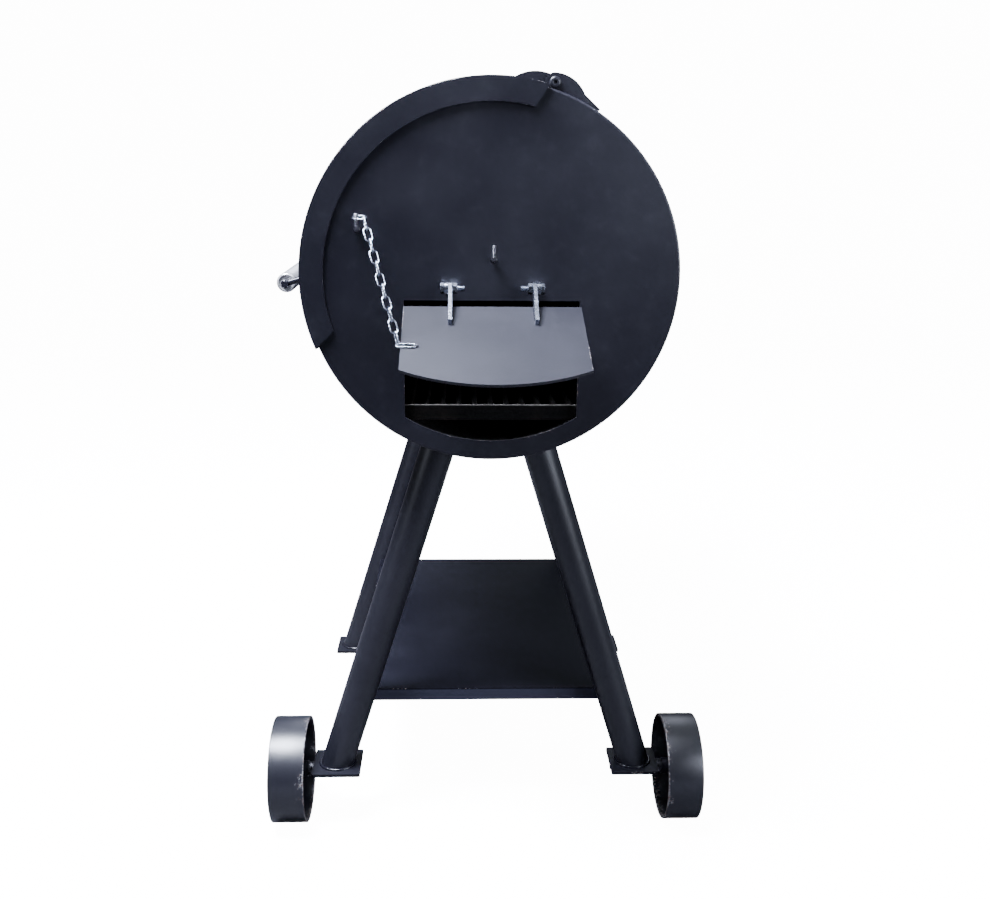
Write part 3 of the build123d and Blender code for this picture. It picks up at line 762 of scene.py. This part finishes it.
class SMOKER_OT_finishes(bpy.types.Operator):
    """Make every finish and give each part of the frame its own"""

    bl_idname = "smoker.finishes"
    bl_label = "Finishes"

    def execute(self, context):
        metal = context.scene.smoker_metal
        length = FAR_Y - NEAR_Y
        inside_shell = ramp("Radius", DRUM_R - 0.0036, DRUM_R - 0.002, 1, 0)
        inside_lid = ramp("Radius", LID_R - 0.0034, LID_R - 0.002, 1, 0)
        behind_near_plate = ramp("Depth", 0.0015, 0.0046)
        before_far_plate = ramp("Depth", length - 0.0046, length - 0.0015, 1, 0)
        flange = either(
            band("Radius", LID_R, 0.0026), band("Radius", FLANGE_INNER_R, 0.0012, 0.4)
        )
        flap_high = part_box("intake_flap")[1]
        flap = either(band("aside", flap_high.x, 0.0016), band("y", flap_high.y, 0.0016))
        grate_low, grate_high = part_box("fire_grate")
        raked = both(band("y", grate_low.y, 0.002), band("z", grate_high.z, 0.0018))
        shelf_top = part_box("shelf")[1].z
        # The shelf's faces below its top are painted a lighter blue-grey, standing in for the
        # light falling on them.
        shelf_fold_painted_light = ramp("z", shelf_top - 0.0024, shelf_top - 0.0012, 1, 0)
        paint_material("Satin black paint", dust=0.3)
        # Both end plates carry a painted highlight on the right of their rims, beside their chips.
        paint_material("End plate paint near", plate_wear_and_rim_highlight(), behind_near_plate, chips=0.9)
        paint_material("End plate paint far", plate_wear_and_rim_highlight(), before_far_plate, chips=0.7)
        paint_material("Drum shell paint", None, inside_shell, roughness=0.33)
        # The lid's near end carries a painted highlight along its top, beside its chips.
        paint_material("Lid paint", lid_wear_and_top_highlight(), inside_lid, roughness=0.33)
        paint_material("Lid flange paint", flange, chips=0.8)
        paint_material("Wheel paint", wheel_wear(), chips=1.0, roughness=0.32, shine=0.95)
        paint_material("Foot paint", foot_wear(), roughness=0.5, chips=0.35, shine=0.2)
        paint_material("Flap paint", flap, chips=0.6, roughness=0.48, dust=0.2)
        # The shelf's lower faces get painted light through the pale mask.
        paint_material(
            "Shelf paint",
            shelf_wear(),
            chips=0.4,
            roughness=0.6,
            dust=0.05,
            shine=0.05,
            pale=shelf_fold_painted_light,
        )
        paint_material("Leg paint", roughness=0.36, dust=0.2, shine=0.7)
        paint_material("Weld paint", roughness=0.16, dust=0.05, peel=160.0)
        paint_material("Handle paint", roughness=0.16, dust=0.05)
        sooty_material("Smoked steel")
        sooty_material("Fire grate steel", raked)
        plated_material("Bright zinc", metal.zinc, (0.22, 0.24, 0.29), 0.24, dulling=0.5)
        bright = metal.stainless
        plated_material("Polished stainless", bright, (0.7, 0.71, 0.73), 0.3, 0.02, 0.25, 0.8)
        plated_material("Oiled steel", (0.16, 0.16, 0.175), (0.06, 0.06, 0.065), 0.35)
        plated_material("Dark peg", (0.22, 0.22, 0.24), (0.05, 0.05, 0.058), 0.3)
        by_node = {
            "near_end_plate": "End plate paint near",
            "far_end_plate": "End plate paint far",
            "drum_shell": "Drum shell paint",
            "lid_shell": "Lid paint",
            "lid_near_flange": "Lid flange paint",
            "lid_far_flange": "Lid flange paint",
            "intake_flap": "Flap paint",
            "shelf": "Shelf paint",
            "handle_bar": "Handle paint",
            "handle_standoffs": "Handle paint",
            "fire_grate": "Fire grate steel",
        }
        by_slot = {
            "black_paint": "Satin black paint",
            "zinc": "Bright zinc",
            "stainless": "Polished stainless",
            "bare_steel": "Smoked steel",
            "dark_steel": "Oiled steel",
        }
        by_ending = {
            "_leg": "Leg paint",
            "_foot": "Foot paint",
            "_ring": "Wheel paint",
            "_disc": "Satin black paint",
        }
        slots = {part["node"]: part["material_slot"] for part in frame["record"]["subparts"]}
        for name, node in frame["nodes"].items():
            finish = by_node.get(name)
            for ending, candidate in by_ending.items():
                if finish is None and name.endswith(ending):
                    finish = candidate
            finish = finish or by_slot[slots[name]]
            node.data.materials.clear()
            node.data.materials.append(fetch(finish))
        return {"FINISHED"}


# The chain's wire, a link's width, and the round weld pad on the flap
WIRE_R, LINK_WIDTH, WELD_PAD_R = 1.2 * MM, 9.6 * MM, 4.5 * MM


def loose_links(node):
    """The middle, long axis and flat normal of each separate link in a frame node."""
    bm = bmesh.new()
    bm.from_mesh(frame["nodes"][node].data)
    bmesh.ops.remove_doubles(bm, verts=bm.verts, dist=1e-5)
    left = set(bm.verts)
    links = []
    while left:
        grown, queue = set(), [left.pop()]
        while queue:
            vert = queue.pop()
            grown.add(vert)
            for edge in vert.link_edges:
                other = edge.other_vert(vert)
                if other in left:
                    left.discard(other)
                    queue.append(other)
        points = np.array([vert.co for vert in grown])
        middle = (points.max(0) + points.min(0)) / 2
        _, vectors = np.linalg.eigh(np.cov((points - points.mean(0)).T))
        along, normal = vectors[:, 2], vectors[:, 0]
        spread = (points - middle) @ along
        middle = middle + along * (spread.max() + spread.min()) / 2
        sizes = [np.ptp((points - middle) @ axis) for axis in (along, vectors[:, 1])]
        links.append((Vector(middle), Vector(along), Vector(normal), *sizes))
    bm.free()
    return sorted(links, key=lambda link: -link[0].z)


def add_link(bm, middle, along, normal, length, width):
    """A welded chain link, with the swelling of its weld on one side."""
    side = normal.cross(along).normalized()
    bend = width / 2 - WIRE_R
    half = length / 2 - WIRE_R - bend
    swelling = 0.22 * MM
    points = []
    straight, arc = 10, 14
    for i in range(straight):
        points.append(along * (half - 2 * half * i / straight) + side * bend)
    for i in range(arc):
        turn_by = pi * i / arc
        points.append(-along * (half + bend * sin(turn_by)) + side * bend * cos(turn_by))
    for i in range(straight):
        points.append(along * (2 * half * i / straight - half) - side * bend)
    for i in range(arc):
        turn_by = pi * i / arc
        points.append(along * (half + bend * sin(turn_by)) - side * bend * cos(turn_by))

    def thickness(run):
        return WIRE_R + swelling * exp(-(((run - half) / (1.1 * MM)) ** 2))

    run_wire(bm, [middle + point for point in points], thickness, 12, closed=True)


class SMOKER_OT_chain(bpy.types.Operator):
    """Welded links between the peg and the air flap, where the frame's chain lies"""

    bl_idname = "smoker.chain"
    bl_label = "Chain"

    def execute(self, context):
        zinc = fetch("Bright zinc")
        top = loose_links("chain_top_link")[0]
        low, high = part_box("chain_end_link")
        length = high.x - low.x - (WELD_PAD_R - WIRE_R)
        middle = (low + high) / 2
        middle.x = low.x + length / 2
        end = (middle, Vector((1, 0, 0)), FLAP_OUT, length, LINK_WIDTH)
        links = loose_links("chain_links")
        if len(links) < 5:
            raise RuntimeError("the frame's chain has too few links")
        bm = bmesh.new()
        for link in links:
            add_link(bm, *link)
        chain = finish_piece("chain", bm, zinc, None, ["chain_links"])
        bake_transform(chain)
        for name, link, body in (("chain_top", top, BODY), ("chain_end", end, "flap")):
            bm = bmesh.new()
            add_link(bm, *link)
            finish_piece(name, bm, zinc, body, [f"{name}_link"])
        return {"FINISHED"}


class SMOKER_OT_pegs(bpy.types.Operator):
    """Bent pegs on the fire end, with a thread on the upright stem"""

    bl_idname = "smoker.pegs"
    bl_label = "Chain pegs"

    def execute(self, context):
        for name in ("upper", "centre"):
            low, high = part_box(f"chain_peg_{name}")
            radius = (high.x - low.x) / 2
            x = (low.x + high.x) / 2
            stem_y, foot_z = low.y + radius, low.z + radius
            bend = 5 * MM
            points = [Vector((x, NEAR_Y, foot_z))]
            for i in range(9):
                phi = pi / 2 * i / 8
                points.append(
                    Vector((x, stem_y + bend * (1 - sin(phi)), foot_z + bend * (1 - cos(phi))))
                )
            bm = bmesh.new()
            run_wire(bm, points, radius * 0.98, 20)
            start = Vector((x, stem_y, foot_z + bend - 0.5 * MM))
            add_thread(bm, start, (0, 0, 1), radius, high.z - start.z, 1.0 * MM)
            peg = f"chain_peg_{name}"
            finish_piece(f"peg_{name}", bm, fetch("Dark peg"), BODY, [peg])
        return {"FINISHED"}


# An 8 mm bolt: radius, thread, across the flats, and its nut's height
M8_RADIUS, M8_PITCH, M8_FLATS, M8_NUT = 4 * MM, 1.25 * MM, 13 * MM, 6.5 * MM


class SMOKER_OT_bolts(bpy.types.Operator):
    """Hexagon bolts and nuts of the air flap, vent and axles, and the lid's round-headed bolts"""

    bl_idname = "smoker.bolts"
    bl_label = "Bolts and nuts"

    def execute(self, context):
        zinc = fetch("Bright zinc")
        self.flap_hinge(zinc)
        self.vent(zinc)
        self.axles(zinc)
        self.lid_hinge()
        return {"FINISHED"}

    def flap_hinge(self, zinc):
        """Two bolts along X, heads outwards, nuts towards the middle."""
        pin = Vector(JOINTS["flap_hinge"]["pos_m"])
        bolt_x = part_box("flap_hinge_bolts")[1].x
        nut_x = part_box("flap_hinge_nuts")[1].x
        head, shank, washer_t = 5.3 * MM, 27 * MM, 0.25 * MM
        bolts, nuts = bmesh.new(), bmesh.new()
        for side in (-1, 1):
            outward = Vector((side, 0, 0))
            under_head = pin + outward * (bolt_x - head)
            turn(bolts, hex_profile(M8_FLATS, head), under_head, outward, 60)
            washer = [(0, 0.5 * M8_FLATS), (washer_t, 0.5 * M8_FLATS)]
            turn(bolts, washer, under_head - outward * washer_t, outward)
            tip = under_head - outward * shank
            add_thread(bolts, tip, outward, M8_RADIUS, shank, M8_PITCH)
            nut_start = pin + outward * (nut_x - M8_NUT)
            add_nut(nuts, nut_start, outward, M8_FLATS, M8_NUT, M8_RADIUS)
        finish_piece("flap_bolts", bolts, zinc, BODY, ["flap_hinge_bolts"], 30)
        finish_piece("flap_nuts", nuts, zinc, BODY, ["flap_hinge_nuts"], 30)

    def vent(self, zinc):
        """The vent's pivot bolt and the nut inside the drum."""
        pivot = Vector(JOINTS["vent_swing"]["pos_m"])
        low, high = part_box("vent_bolt")
        back, head = (0, 1, 0), 5 * MM
        bolt, nut = bmesh.new(), bmesh.new()
        under_head = Vector((pivot.x, high.y - head, pivot.z))
        turn(bolt, hex_profile(M8_FLATS, head), under_head, back, 60)
        start = Vector((pivot.x, low.y, pivot.z))
        add_thread(bolt, start, back, M8_RADIUS, high.y - head - low.y, M8_PITCH)
        nut_start = (pivot.x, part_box("vent_nut")[0].y, pivot.z)
        add_nut(nut, nut_start, back, M8_FLATS, M8_NUT, M8_RADIUS)
        finish_piece("vent_pivot_bolt", bolt, zinc, BODY, ["vent_bolt"], 30)
        finish_piece("vent_pivot_nut", nut, zinc, BODY, ["vent_nut"], 30)

    def axles(self, zinc):
        """A nut on the end of each axle."""
        low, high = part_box("axle_nuts")
        y, z = (low.y + high.y) / 2, (low.z + high.z) / 2
        nut_t, axle_r = 10 * MM, 6 * MM
        bm = bmesh.new()
        for side in (-1, 1):
            start = (side * (high.x - nut_t), y, z)
            add_nut(bm, start, (side, 0, 0), high.z - low.z, nut_t, axle_r)
        finish_piece("axle_end_nuts", bm, zinc, BODY, ["axle_nuts"], 30)

    def lid_hinge(self):
        """Round heads with a driving recess, and nuts behind the lid's lugs."""
        pin = Vector(JOINTS["lid_hinge"]["pos_m"])
        low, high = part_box("lid_hinge_bolts")
        nut_low, nut_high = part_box("lid_hinge_nuts")
        head, shank = 5 * MM, 18.4 * MM
        bolts, nuts = bmesh.new(), bmesh.new()
        recess = hex_radius(5 * MM)
        for outer_y, inward, nut_y in ((low.y, 1, nut_low.y), (high.y, -1, nut_high.y)):
            axis = Vector((0, inward, 0))
            profile = [(2.2 * MM, recess), (0.25 * MM, recess), (0, 3.4 * MM)]
            for i in range(7):
                phi = pi / 2 * i / 6
                along = 2.6 * MM * (1 - cos(phi))
                profile.append((along, 3.8 * MM + 3.9 * MM * sin(phi)))
            profile += [(head - 0.4 * MM, 7.7 * MM), (head, 7.3 * MM), (head, 4 * MM)]
            start = Vector((pin.x, outer_y, pin.z))
            turn(bolts, profile, start, axis, 60)
            add_thread(bolts, start + axis * head, axis, M8_RADIUS, shank, M8_PITCH)
            add_nut(nuts, (pin.x, nut_y, pin.z), axis, 12.6 * MM, 6 * MM, M8_RADIUS)
        paint = fetch("Satin black paint")
        finish_piece("lid_bolts", bolts, paint, BODY, ["lid_hinge_bolts"], 30)
        finish_piece("lid_nuts", nuts, paint, BODY, ["lid_hinge_nuts"], 30)


class SMOKER_OT_grip(bpy.types.Operator):
    """Polished tube grip with a rolled lip at each end"""

    bl_idname = "smoker.grip"
    bl_label = "Handle grip"

    def execute(self, context):
        low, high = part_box("handle_grip")
        radius, length = (high.z - low.z) / 2, high.y - low.y
        lip = 3.2 * MM
        end = [(1.6 * MM, 6.05 * MM), (1.6 * MM, radius - 4.2 * MM), (0.2 * MM, radius - 3.6 * MM)]
        for i in range(9):
            phi = pi / 2 * i / 8
            end.append((lip * (1 - sin(phi)), radius - lip * (1 - cos(phi))))
        end = end[:3] + end[:2:-1]
        groove = [
            (14 * MM, radius),
            (14.5 * MM, radius - 0.35 * MM),
            (15.3 * MM, radius - 0.35 * MM),
            (15.8 * MM, radius),
        ]
        half = end + groove
        profile = half + [(length - along, r) for along, r in reversed(half)]
        bm = bmesh.new()
        start = Vector(((low.x + high.x) / 2, low.y, (low.z + high.z) / 2))
        turn(bm, profile, start, (0, 1, 0), 72, closed=True)
        stainless = fetch("Polished stainless")
        finish_piece("grip", bm, stainless, "lid", ["handle_grip"], 40)
        return {"FINISHED"}


class SMOKER_OT_wheels(bpy.types.Operator):
    """Pipe rings with hand-dressed rims"""

    bl_idname = "smoker.wheels"
    bl_label = "Wheel rings"

    def execute(self, context):
        for hand in ("left", "right"):
            low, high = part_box(f"wheel_{hand}_ring")
            radius, width = (high.y - low.y) / 2, high.x - low.x
            wall, soft = 5 * MM, 1.1 * MM
            inner = radius - wall
            bm = bmesh.new()
            start = (low.x, (low.y + high.y) / 2, (low.z + high.z) / 2)
            turn(bm, self.rounded(radius, inner, width, soft), start, (1, 0, 0), 128, closed=True)
            body, node = f"wheel_{hand}", f"wheel_{hand}_ring"
            finish_piece(f"{body}_rim", bm, fetch("Wheel paint"), body, [node], 50)
        return {"FINISHED"}

    def rounded(self, radius, inner, width, soft):
        """A pipe wall's section with its four corners rounded."""
        profile, steps = [], 4
        corners = (
            (soft, radius - soft, pi / 2, pi),
            (soft, inner + soft, pi, 3 * pi / 2),
            (width - soft, inner + soft, 3 * pi / 2, 2 * pi),
            (width - soft, radius - soft, 0, pi / 2),
        )
        for along, r, start, stop in corners:
            for i in range(steps + 1):
                phi = start + (stop - start) * i / steps
                profile.append((along + soft * cos(phi), r + soft * sin(phi)))
        return profile


# --- weld beads -----------------------------------------------------------------------------

# Run over rise of the legs, and how far out the shelf meets them, as a share of the feet's reach
LEG_LEAN, SHELF_ON_LEG = 0.31, 0.785
# Where lugs and the stop bar stand on the drum and lid, in degrees from +X
HINGE_LUG_FOOT, LID_LUG_FOOT, STOP_BAR_FOOT = (60.5, 71), (75.5, 83.5), 58.9


def ring_points(centre, axis, radius, start=0.0, stop=2 * pi, step=1.0 * MM):
    """Points on a circle or an arc about an axis."""
    u, v = across(axis)
    count = max(int(abs(stop - start) * radius / step), 8)
    whole = abs(stop - start) > 2 * pi - 1e-6
    last = count if whole else count + 1
    points = []
    for i in range(last):
        phi = start + (stop - start) * i / count
        points.append(Vector(centre) + (u * cos(phi) + v * sin(phi)) * radius)
    return points, whole


def line_points(start, stop, step=1.0 * MM):
    """Points on a straight run."""
    start, stop = Vector(start), Vector(stop)
    count = max(int((stop - start).length / step), 4)
    return [start.lerp(stop, i / count) for i in range(count + 1)], False


def drum_arc(radius, low_angle, high_angle, y, step=1.0 * MM):
    """Points along the drum's curve at one depth; angles in degrees from +X."""
    count = max(int(radians(high_angle - low_angle) * radius / step), 8)
    points = []
    for i in range(count + 1):
        phi = radians(low_angle + (high_angle - low_angle) * i / count)
        points.append(Vector((radius * cos(phi), y, AXIS_Z + radius * sin(phi))))
    return points, False


def leg_welds(row, hand):
    """Round a leg's foot, and round the saddle where it meets the drum."""
    side = -1 if hand == "left" else 1
    foot_low, foot_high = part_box(f"{row}_{hand}_foot")
    foot = (foot_low + foot_high) / 2
    foot.z = foot_high.z
    leg_low, leg_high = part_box(f"{row}_{hand}_leg")
    leg_r = (leg_high.y - leg_low.y) / 2
    up = Vector((-side * LEG_LEAN, 0, 1)).normalized()
    level, forward = Vector((up.z, 0, -up.x)), Vector((0, 1, 0))
    foot_ring, saddle = [], []
    count = 160
    for i in range(count):
        phi = 2 * pi * i / count
        out = level * cos(phi) + forward * sin(phi)
        base = foot + out * (leg_r + 0.6 * MM)
        foot_ring.append(base - up * ((base.z - foot.z - 0.6 * MM) / up.z))
        line = Vector((base.x, base.z - AXIS_Z))
        slope = Vector((up.x, up.z))
        a, b, c = slope.dot(slope), 2 * line.dot(slope), line.dot(line) - DRUM_R**2
        saddle.append(base + up * ((-b - sqrt(b * b - 4 * a * c)) / (2 * a)))
    return [(foot_ring, True), (saddle, True)]


def frame_welds():
    """Beads on the fixed body."""
    runs = []
    for row in ("near", "far"):
        for hand in ("left", "right"):
            runs += leg_welds(row, hand)
    for hand in ("left", "right"):
        low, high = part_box(f"near_{hand}_foot")
        axle_low, axle_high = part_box(f"axle_{hand}")
        y, r = (axle_low.y + axle_high.y) / 2, (axle_high.z - axle_low.z) / 2
        z, inset = low.z - 0.5 * MM, 5 * MM
        for bead_y in (y - 0.75 * r, y + 0.75 * r):
            start, stop = (low.x + inset, bead_y, z), (high.x - inset, bead_y, z)
            runs.append(line_points(start, stop))
    proud_y = NEAR_Y - 0.3 * MM
    low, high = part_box("flap_ears")
    for x in (low.x, high.x):
        start, stop = (x, proud_y, low.z + 1 * MM), (x, proud_y, high.z - 1 * MM)
        runs.append(line_points(start, stop))
    for end in ("near", "far"):
        low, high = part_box(f"hinge_lug_{end}")
        for y in (low.y, high.y):
            runs.append(drum_arc(DRUM_R + 0.4 * MM, *HINGE_LUG_FOOT, y))
    low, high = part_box("lid_stop_bar")
    foot, stitches, stitch = radians(STOP_BAR_FOOT), 4, 40 * MM
    for i in range(stitches):
        y = low.y + (high.y - low.y) * (0.5 + i) / stitches - stitch / 2
        start = Vector((DRUM_R * cos(foot), y, AXIS_Z + DRUM_R * sin(foot)))
        runs.append(line_points(start, start + Vector((0, stitch, 0))))
    for name in ("upper", "centre"):
        low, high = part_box(f"chain_peg_{name}")
        r = (high.x - low.x) / 2
        centre = ((low.x + high.x) / 2, proud_y, low.z + r)
        runs.append(ring_points(centre, (0, 1, 0), r + 0.4 * MM, step=0.6 * MM))
    low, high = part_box("shelf")
    leg_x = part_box("near_right_leg")[1].x * SHELF_ON_LEG
    for side in (-1, 1):
        for y in (low.y, high.y):
            start, stop = (side * leg_x, y, low.z + 1 * MM), (side * (leg_x - 6 * MM), y, high.z)
            runs.append(line_points(start, stop))
    return runs


def lid_welds():
    """Beads on the lid: lugs and handle."""
    runs = []
    for end in ("near", "far"):
        low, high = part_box(f"lid_lug_{end}")
        for y in (low.y, high.y):
            runs.append(drum_arc(LID_R + 0.2 * MM, *LID_LUG_FOOT, y))
    low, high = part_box("handle_standoffs")
    bar_low, bar_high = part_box("handle_bar")
    bar = (bar_low + bar_high) / 2
    r, below_axis, short_of_bar = 4.5 * MM, 20.2 * MM, 6 * MM
    root = Vector((-LID_R + 0.4 * MM, 0, AXIS_Z - below_axis))
    out = (Vector((bar.x, 0, bar.z)) - root).normalized()
    for y in (low.y + r, high.y - r):
        start = Vector((root.x, y, root.z))
        runs.append(ring_points(start, out, r + 0.5 * MM, step=0.8 * MM))
        tip = Vector((bar.x, y, bar.z)) - out * short_of_bar
        runs.append(ring_points(tip, out, r + 0.2 * MM, step=0.8 * MM))
    return runs


def flap_welds():
    """Beads along the arms on the flap's outer face."""
    pin = Vector(JOINTS["flap_hinge"]["pos_m"])
    low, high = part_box("flap_arms")
    thick, face, drop, length = 5 * MM, -16.4 * MM, 24 * MM, 34 * MM
    runs = []
    for x in (low.x, low.x + thick, high.x - thick, high.x):
        start = pin + Vector((x, 0, 0)) - FLAP_UP * drop + FLAP_OUT * face
        runs.append(line_points(start, start - FLAP_UP * length))
    low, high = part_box("chain_end_link")
    tack = (low + high) / 2
    tack.x = high.x - WELD_PAD_R
    runs.append(ring_points(tack, FLAP_OUT, 2.6 * MM, step=0.6 * MM))
    return runs


def wheel_welds(hand):
    """Beads round a wheel's hub and round the inside of its ring."""
    disc_low, disc_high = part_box(f"wheel_{hand}_disc")
    hub_low, hub_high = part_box(f"wheel_{hand}_hub")
    y, z = (disc_low.y + disc_high.y) / 2, (disc_low.z + disc_high.z) / 2
    runs = []
    for x in (disc_low.x, disc_high.x):
        outer = (disc_high.y - disc_low.y) / 2 - 0.6 * MM
        inner = (hub_high.y - hub_low.y) / 2 + 0.6 * MM
        runs.append(ring_points((x, y, z), (1, 0, 0), outer, step=1.3 * MM))
        runs.append(ring_points((x, y, z), (1, 0, 0), inner))
    return runs


class SMOKER_OT_welds(bpy.types.Operator):
    """Rippled weld beads where the pieces are joined"""

    bl_idname = "smoker.welds"
    bl_label = "Weld beads"

    def execute(self, context):
        metal = context.scene.smoker_metal
        by_body = {
            BODY: (frame_welds(), 1.0),
            "lid": (lid_welds(), 0.62),
            "flap": (flap_welds(), 0.5),
            "wheel_left": (wheel_welds("left"), 0.8),
            "wheel_right": (wheel_welds("right"), 0.8),
        }
        for body, (runs, share) in by_body.items():
            bm = bmesh.new()
            for points, whole in runs:
                small = len(points) < 60
                self.add_bead(bm, points, whole, metal, share * (0.55 if small else 1.0))
            finish_piece(f"welds_{body}", bm, fetch("Weld paint"), body, (), 60)
        return {"FINISHED"}

    def add_bead(self, bm, points, whole, metal, share):
        """One bead, swelling and narrowing with each ripple."""
        radius, ripple = metal.bead_radius * share, metal.ripple * max(share, 0.6)

        def thickness(run):
            beat = (run / ripple) % 1
            drift = 0.05 * sin(run * 190) + 0.04 * sin(run * 77)
            return radius * (0.9 + 0.16 * (1 - beat) + drift)

        run_wire(bm, points, thickness, 8, closed=whole)


# --- stage ----------------------------------------------------------------------------------


class SMOKER_OT_stage(bpy.types.Operator):
    """Pale floor that curves up all round, soft lights and the camera"""

    bl_idname = "smoker.stage"
    bl_label = "Stage"

    def execute(self, context):
        settings = context.scene.smoker_stage
        self.floor(settings)
        self.world(context)
        self.lights()
        self.camera(context, settings)
        return {"FINISHED"}

    def floor(self, settings):
        """A wide dish: level in the middle, rising softly far out."""
        bm = bmesh.new()
        profile = [(0.0, 0.001), (0.0, 2.0), (0.0, 5.0)]
        for i in range(1, 13):
            phi = pi / 2 * i / 12
            profile.append((3.0 * (1 - cos(phi)), 5.0 + 3.0 * sin(phi)))
        turn(bm, profile, (0, 0, 0), (0, 0, 1), 96)
        bm.faces.ensure_lookup_table()
        bmesh.ops.delete(bm, geom=[bm.faces[-1]], context="FACES_ONLY")
        mesh = bpy.data.meshes.new("studio_floor")
        bm.to_mesh(mesh)
        bm.free()
        mesh.polygons.foreach_set("use_smooth", [True] * len(mesh.polygons))
        mesh.materials.append(self.floor_material(settings))
        floor = bpy.data.objects.new("studio_floor", mesh)
        bpy.context.scene.collection.objects.link(floor)

    def floor_material(self, settings):
        """Pale to look at, but dim in what the object reflects, and dimmest in front."""
        material, tree, shader = start_material("Studio floor")
        place = object_place(tree)
        axes = split_place(tree, place)
        drift = remap(tree, noise(tree, place, 1.5), 0.3, 0.7)
        pale = (*settings.floor, 1)
        shade = (*[c * 0.99 for c in settings.floor], 1)
        seen = blend_colours(tree, drift, pale, shade)
        behind = remap(tree, axes[1], -1.2, 0.4)
        dim = blend_colours(tree, behind, (0.06, 0.06, 0.07, 1), (0.1, 0.1, 0.11, 1))
        direct = add_node(tree, "ShaderNodeLightPath").outputs["Is Camera Ray"]
        tree.links.new(blend_colours(tree, direct, dim, seen), shader.inputs["Base Color"])
        glow = blend_colours(tree, direct, (0, 0, 0, 1), (1, 1, 1, 1))
        tree.links.new(glow, shader.inputs["Emission Color"])
        shader.inputs["Emission Strength"].default_value = settings.glow
        shader.inputs["Roughness"].default_value = 0.85
        shader.inputs["Specular IOR Level"].default_value = 0.1
        return material

    def world(self, context):
        """A dim sky, brighter overhead, behind and aside; white where it is seen directly."""
        world = bpy.data.worlds.new("Studio")
        world.use_nodes = True
        tree = world.node_tree
        background = tree.nodes["Background"]
        direction = add_node(tree, "ShaderNodeTexCoord").outputs["Generated"]
        axes = split_place(tree, direction)
        overhead = remap(tree, axes[2], -0.1, 0.9, 0.1, 0.5)
        behind = remap(tree, axes[1], -0.7, 0.3, 0.25, 1.0)
        aside = remap(tree, calc(tree, "ABSOLUTE", axes[0]), 0.6, 0.95, 0.0, 0.35)
        sky = calc(tree, "ADD", calc(tree, "MULTIPLY", overhead, behind), aside)
        cool = blend_colours(tree, sky, (0, 0, 0, 1), (0.86, 0.92, 1.0, 1))
        direct = add_node(tree, "ShaderNodeLightPath").outputs["Is Camera Ray"]
        shown = blend_colours(tree, direct, cool, (1, 1, 1, 1))
        tree.links.new(shown, background.inputs["Color"])
        background.inputs["Strength"].default_value = 1.0
        context.scene.world = world

    def lights(self):
        """Large soft panels overhead, on both sides and behind."""
        middle = Vector((0, 0, AXIS_Z))
        for name, place, size, power in (
            ("overhead", (-0.75, -0.6, 2.7), 1.0, 440),
            ("left", (-2.5, -1.7, 1.5), 1.5, 20),
            ("right", (2.5, -2.3, 1.6), 1.8, 125),
            ("behind", (0.3, 2.8, 2.4), 2.0, 28),
        ):
            light = bpy.data.lights.new(name, "AREA")
            light.shape = "SQUARE"
            light.size = size
            light.energy = power
            light.color = (0.79, 0.84, 1.0)
            lamp = bpy.data.objects.new(name, light)
            lamp.location = place
            aim = (middle - Vector(place)).to_track_quat("-Z", "Y")
            lamp.rotation_euler = aim.to_euler()
            bpy.context.scene.collection.objects.link(lamp)

    def camera(self, context, settings):
        """The main view."""
        data = bpy.data.cameras.new("main_camera")
        data.lens = settings.lens
        data.sensor_width = 36.0
        data.clip_start = 0.05
        camera = bpy.data.objects.new("main_camera", data)
        spin = Matrix.Rotation(-settings.yaw, 4, "Z")
        tip = Matrix.Rotation(pi / 2 - settings.pitch, 4, "X")
        lean = Matrix.Rotation(settings.roll, 4, "Z")
        place = Vector((settings.offset, NEAR_Y - settings.distance, AXIS_Z + settings.rise))
        camera.matrix_world = Matrix.Translation(place) @ spin @ tip @ lean
        context.scene.collection.objects.link(camera)
        context.scene.camera = camera


# --- panel and running ----------------------------------------------------------------------

PIECE_OPERATORS = (
    SMOKER_OT_finishes,
    SMOKER_OT_chain,
    SMOKER_OT_pegs,
    SMOKER_OT_bolts,
    SMOKER_OT_grip,
    SMOKER_OT_wheels,
    SMOKER_OT_welds,
    SMOKER_OT_stage,
)


class SMOKER_PT_panel(bpy.types.Panel):
    """The smoker's settings and the steps that build its looks"""

    bl_label = "Offset smoker"
    bl_idname = "SMOKER_PT_panel"
    bl_space_type = "VIEW_3D"
    bl_region_type = "UI"
    bl_category = "Smoker"

    def draw(self, context):
        layout = self.layout
        for group in (
            context.scene.smoker_paint,
            context.scene.smoker_metal,
            context.scene.smoker_stage,
        ):
            for name in group.__annotations__:
                layout.prop(group, name)
        for operator in PIECE_OPERATORS:
            layout.operator(operator.bl_idname)


SETTINGS = {
    "smoker_paint": SmokerPaintSettings,
    "smoker_metal": SmokerMetalSettings,
    "smoker_stage": SmokerStageSettings,
}


def register():
    for name, group in SETTINGS.items():
        bpy.utils.register_class(group)
        setattr(bpy.types.Scene, name, bpy.props.PointerProperty(type=group))
    for operator in PIECE_OPERATORS:
        bpy.utils.register_class(operator)
    bpy.utils.register_class(SMOKER_PT_panel)


def unregister():
    bpy.utils.unregister_class(SMOKER_PT_panel)
    for operator in reversed(PIECE_OPERATORS):
        bpy.utils.unregister_class(operator)
    for name, group in SETTINGS.items():
        delattr(bpy.types.Scene, name)
        bpy.utils.unregister_class(group)


def main():
    register()
    bpy.ops.smoker.finishes()
    bpy.ops.smoker.chain()
    bpy.ops.smoker.pegs()
    bpy.ops.smoker.bolts()
    bpy.ops.smoker.grip()
    bpy.ops.smoker.wheels()
    bpy.ops.smoker.welds()
    bpy.ops.smoker.stage()


if __name__ == "__main__":
    main()
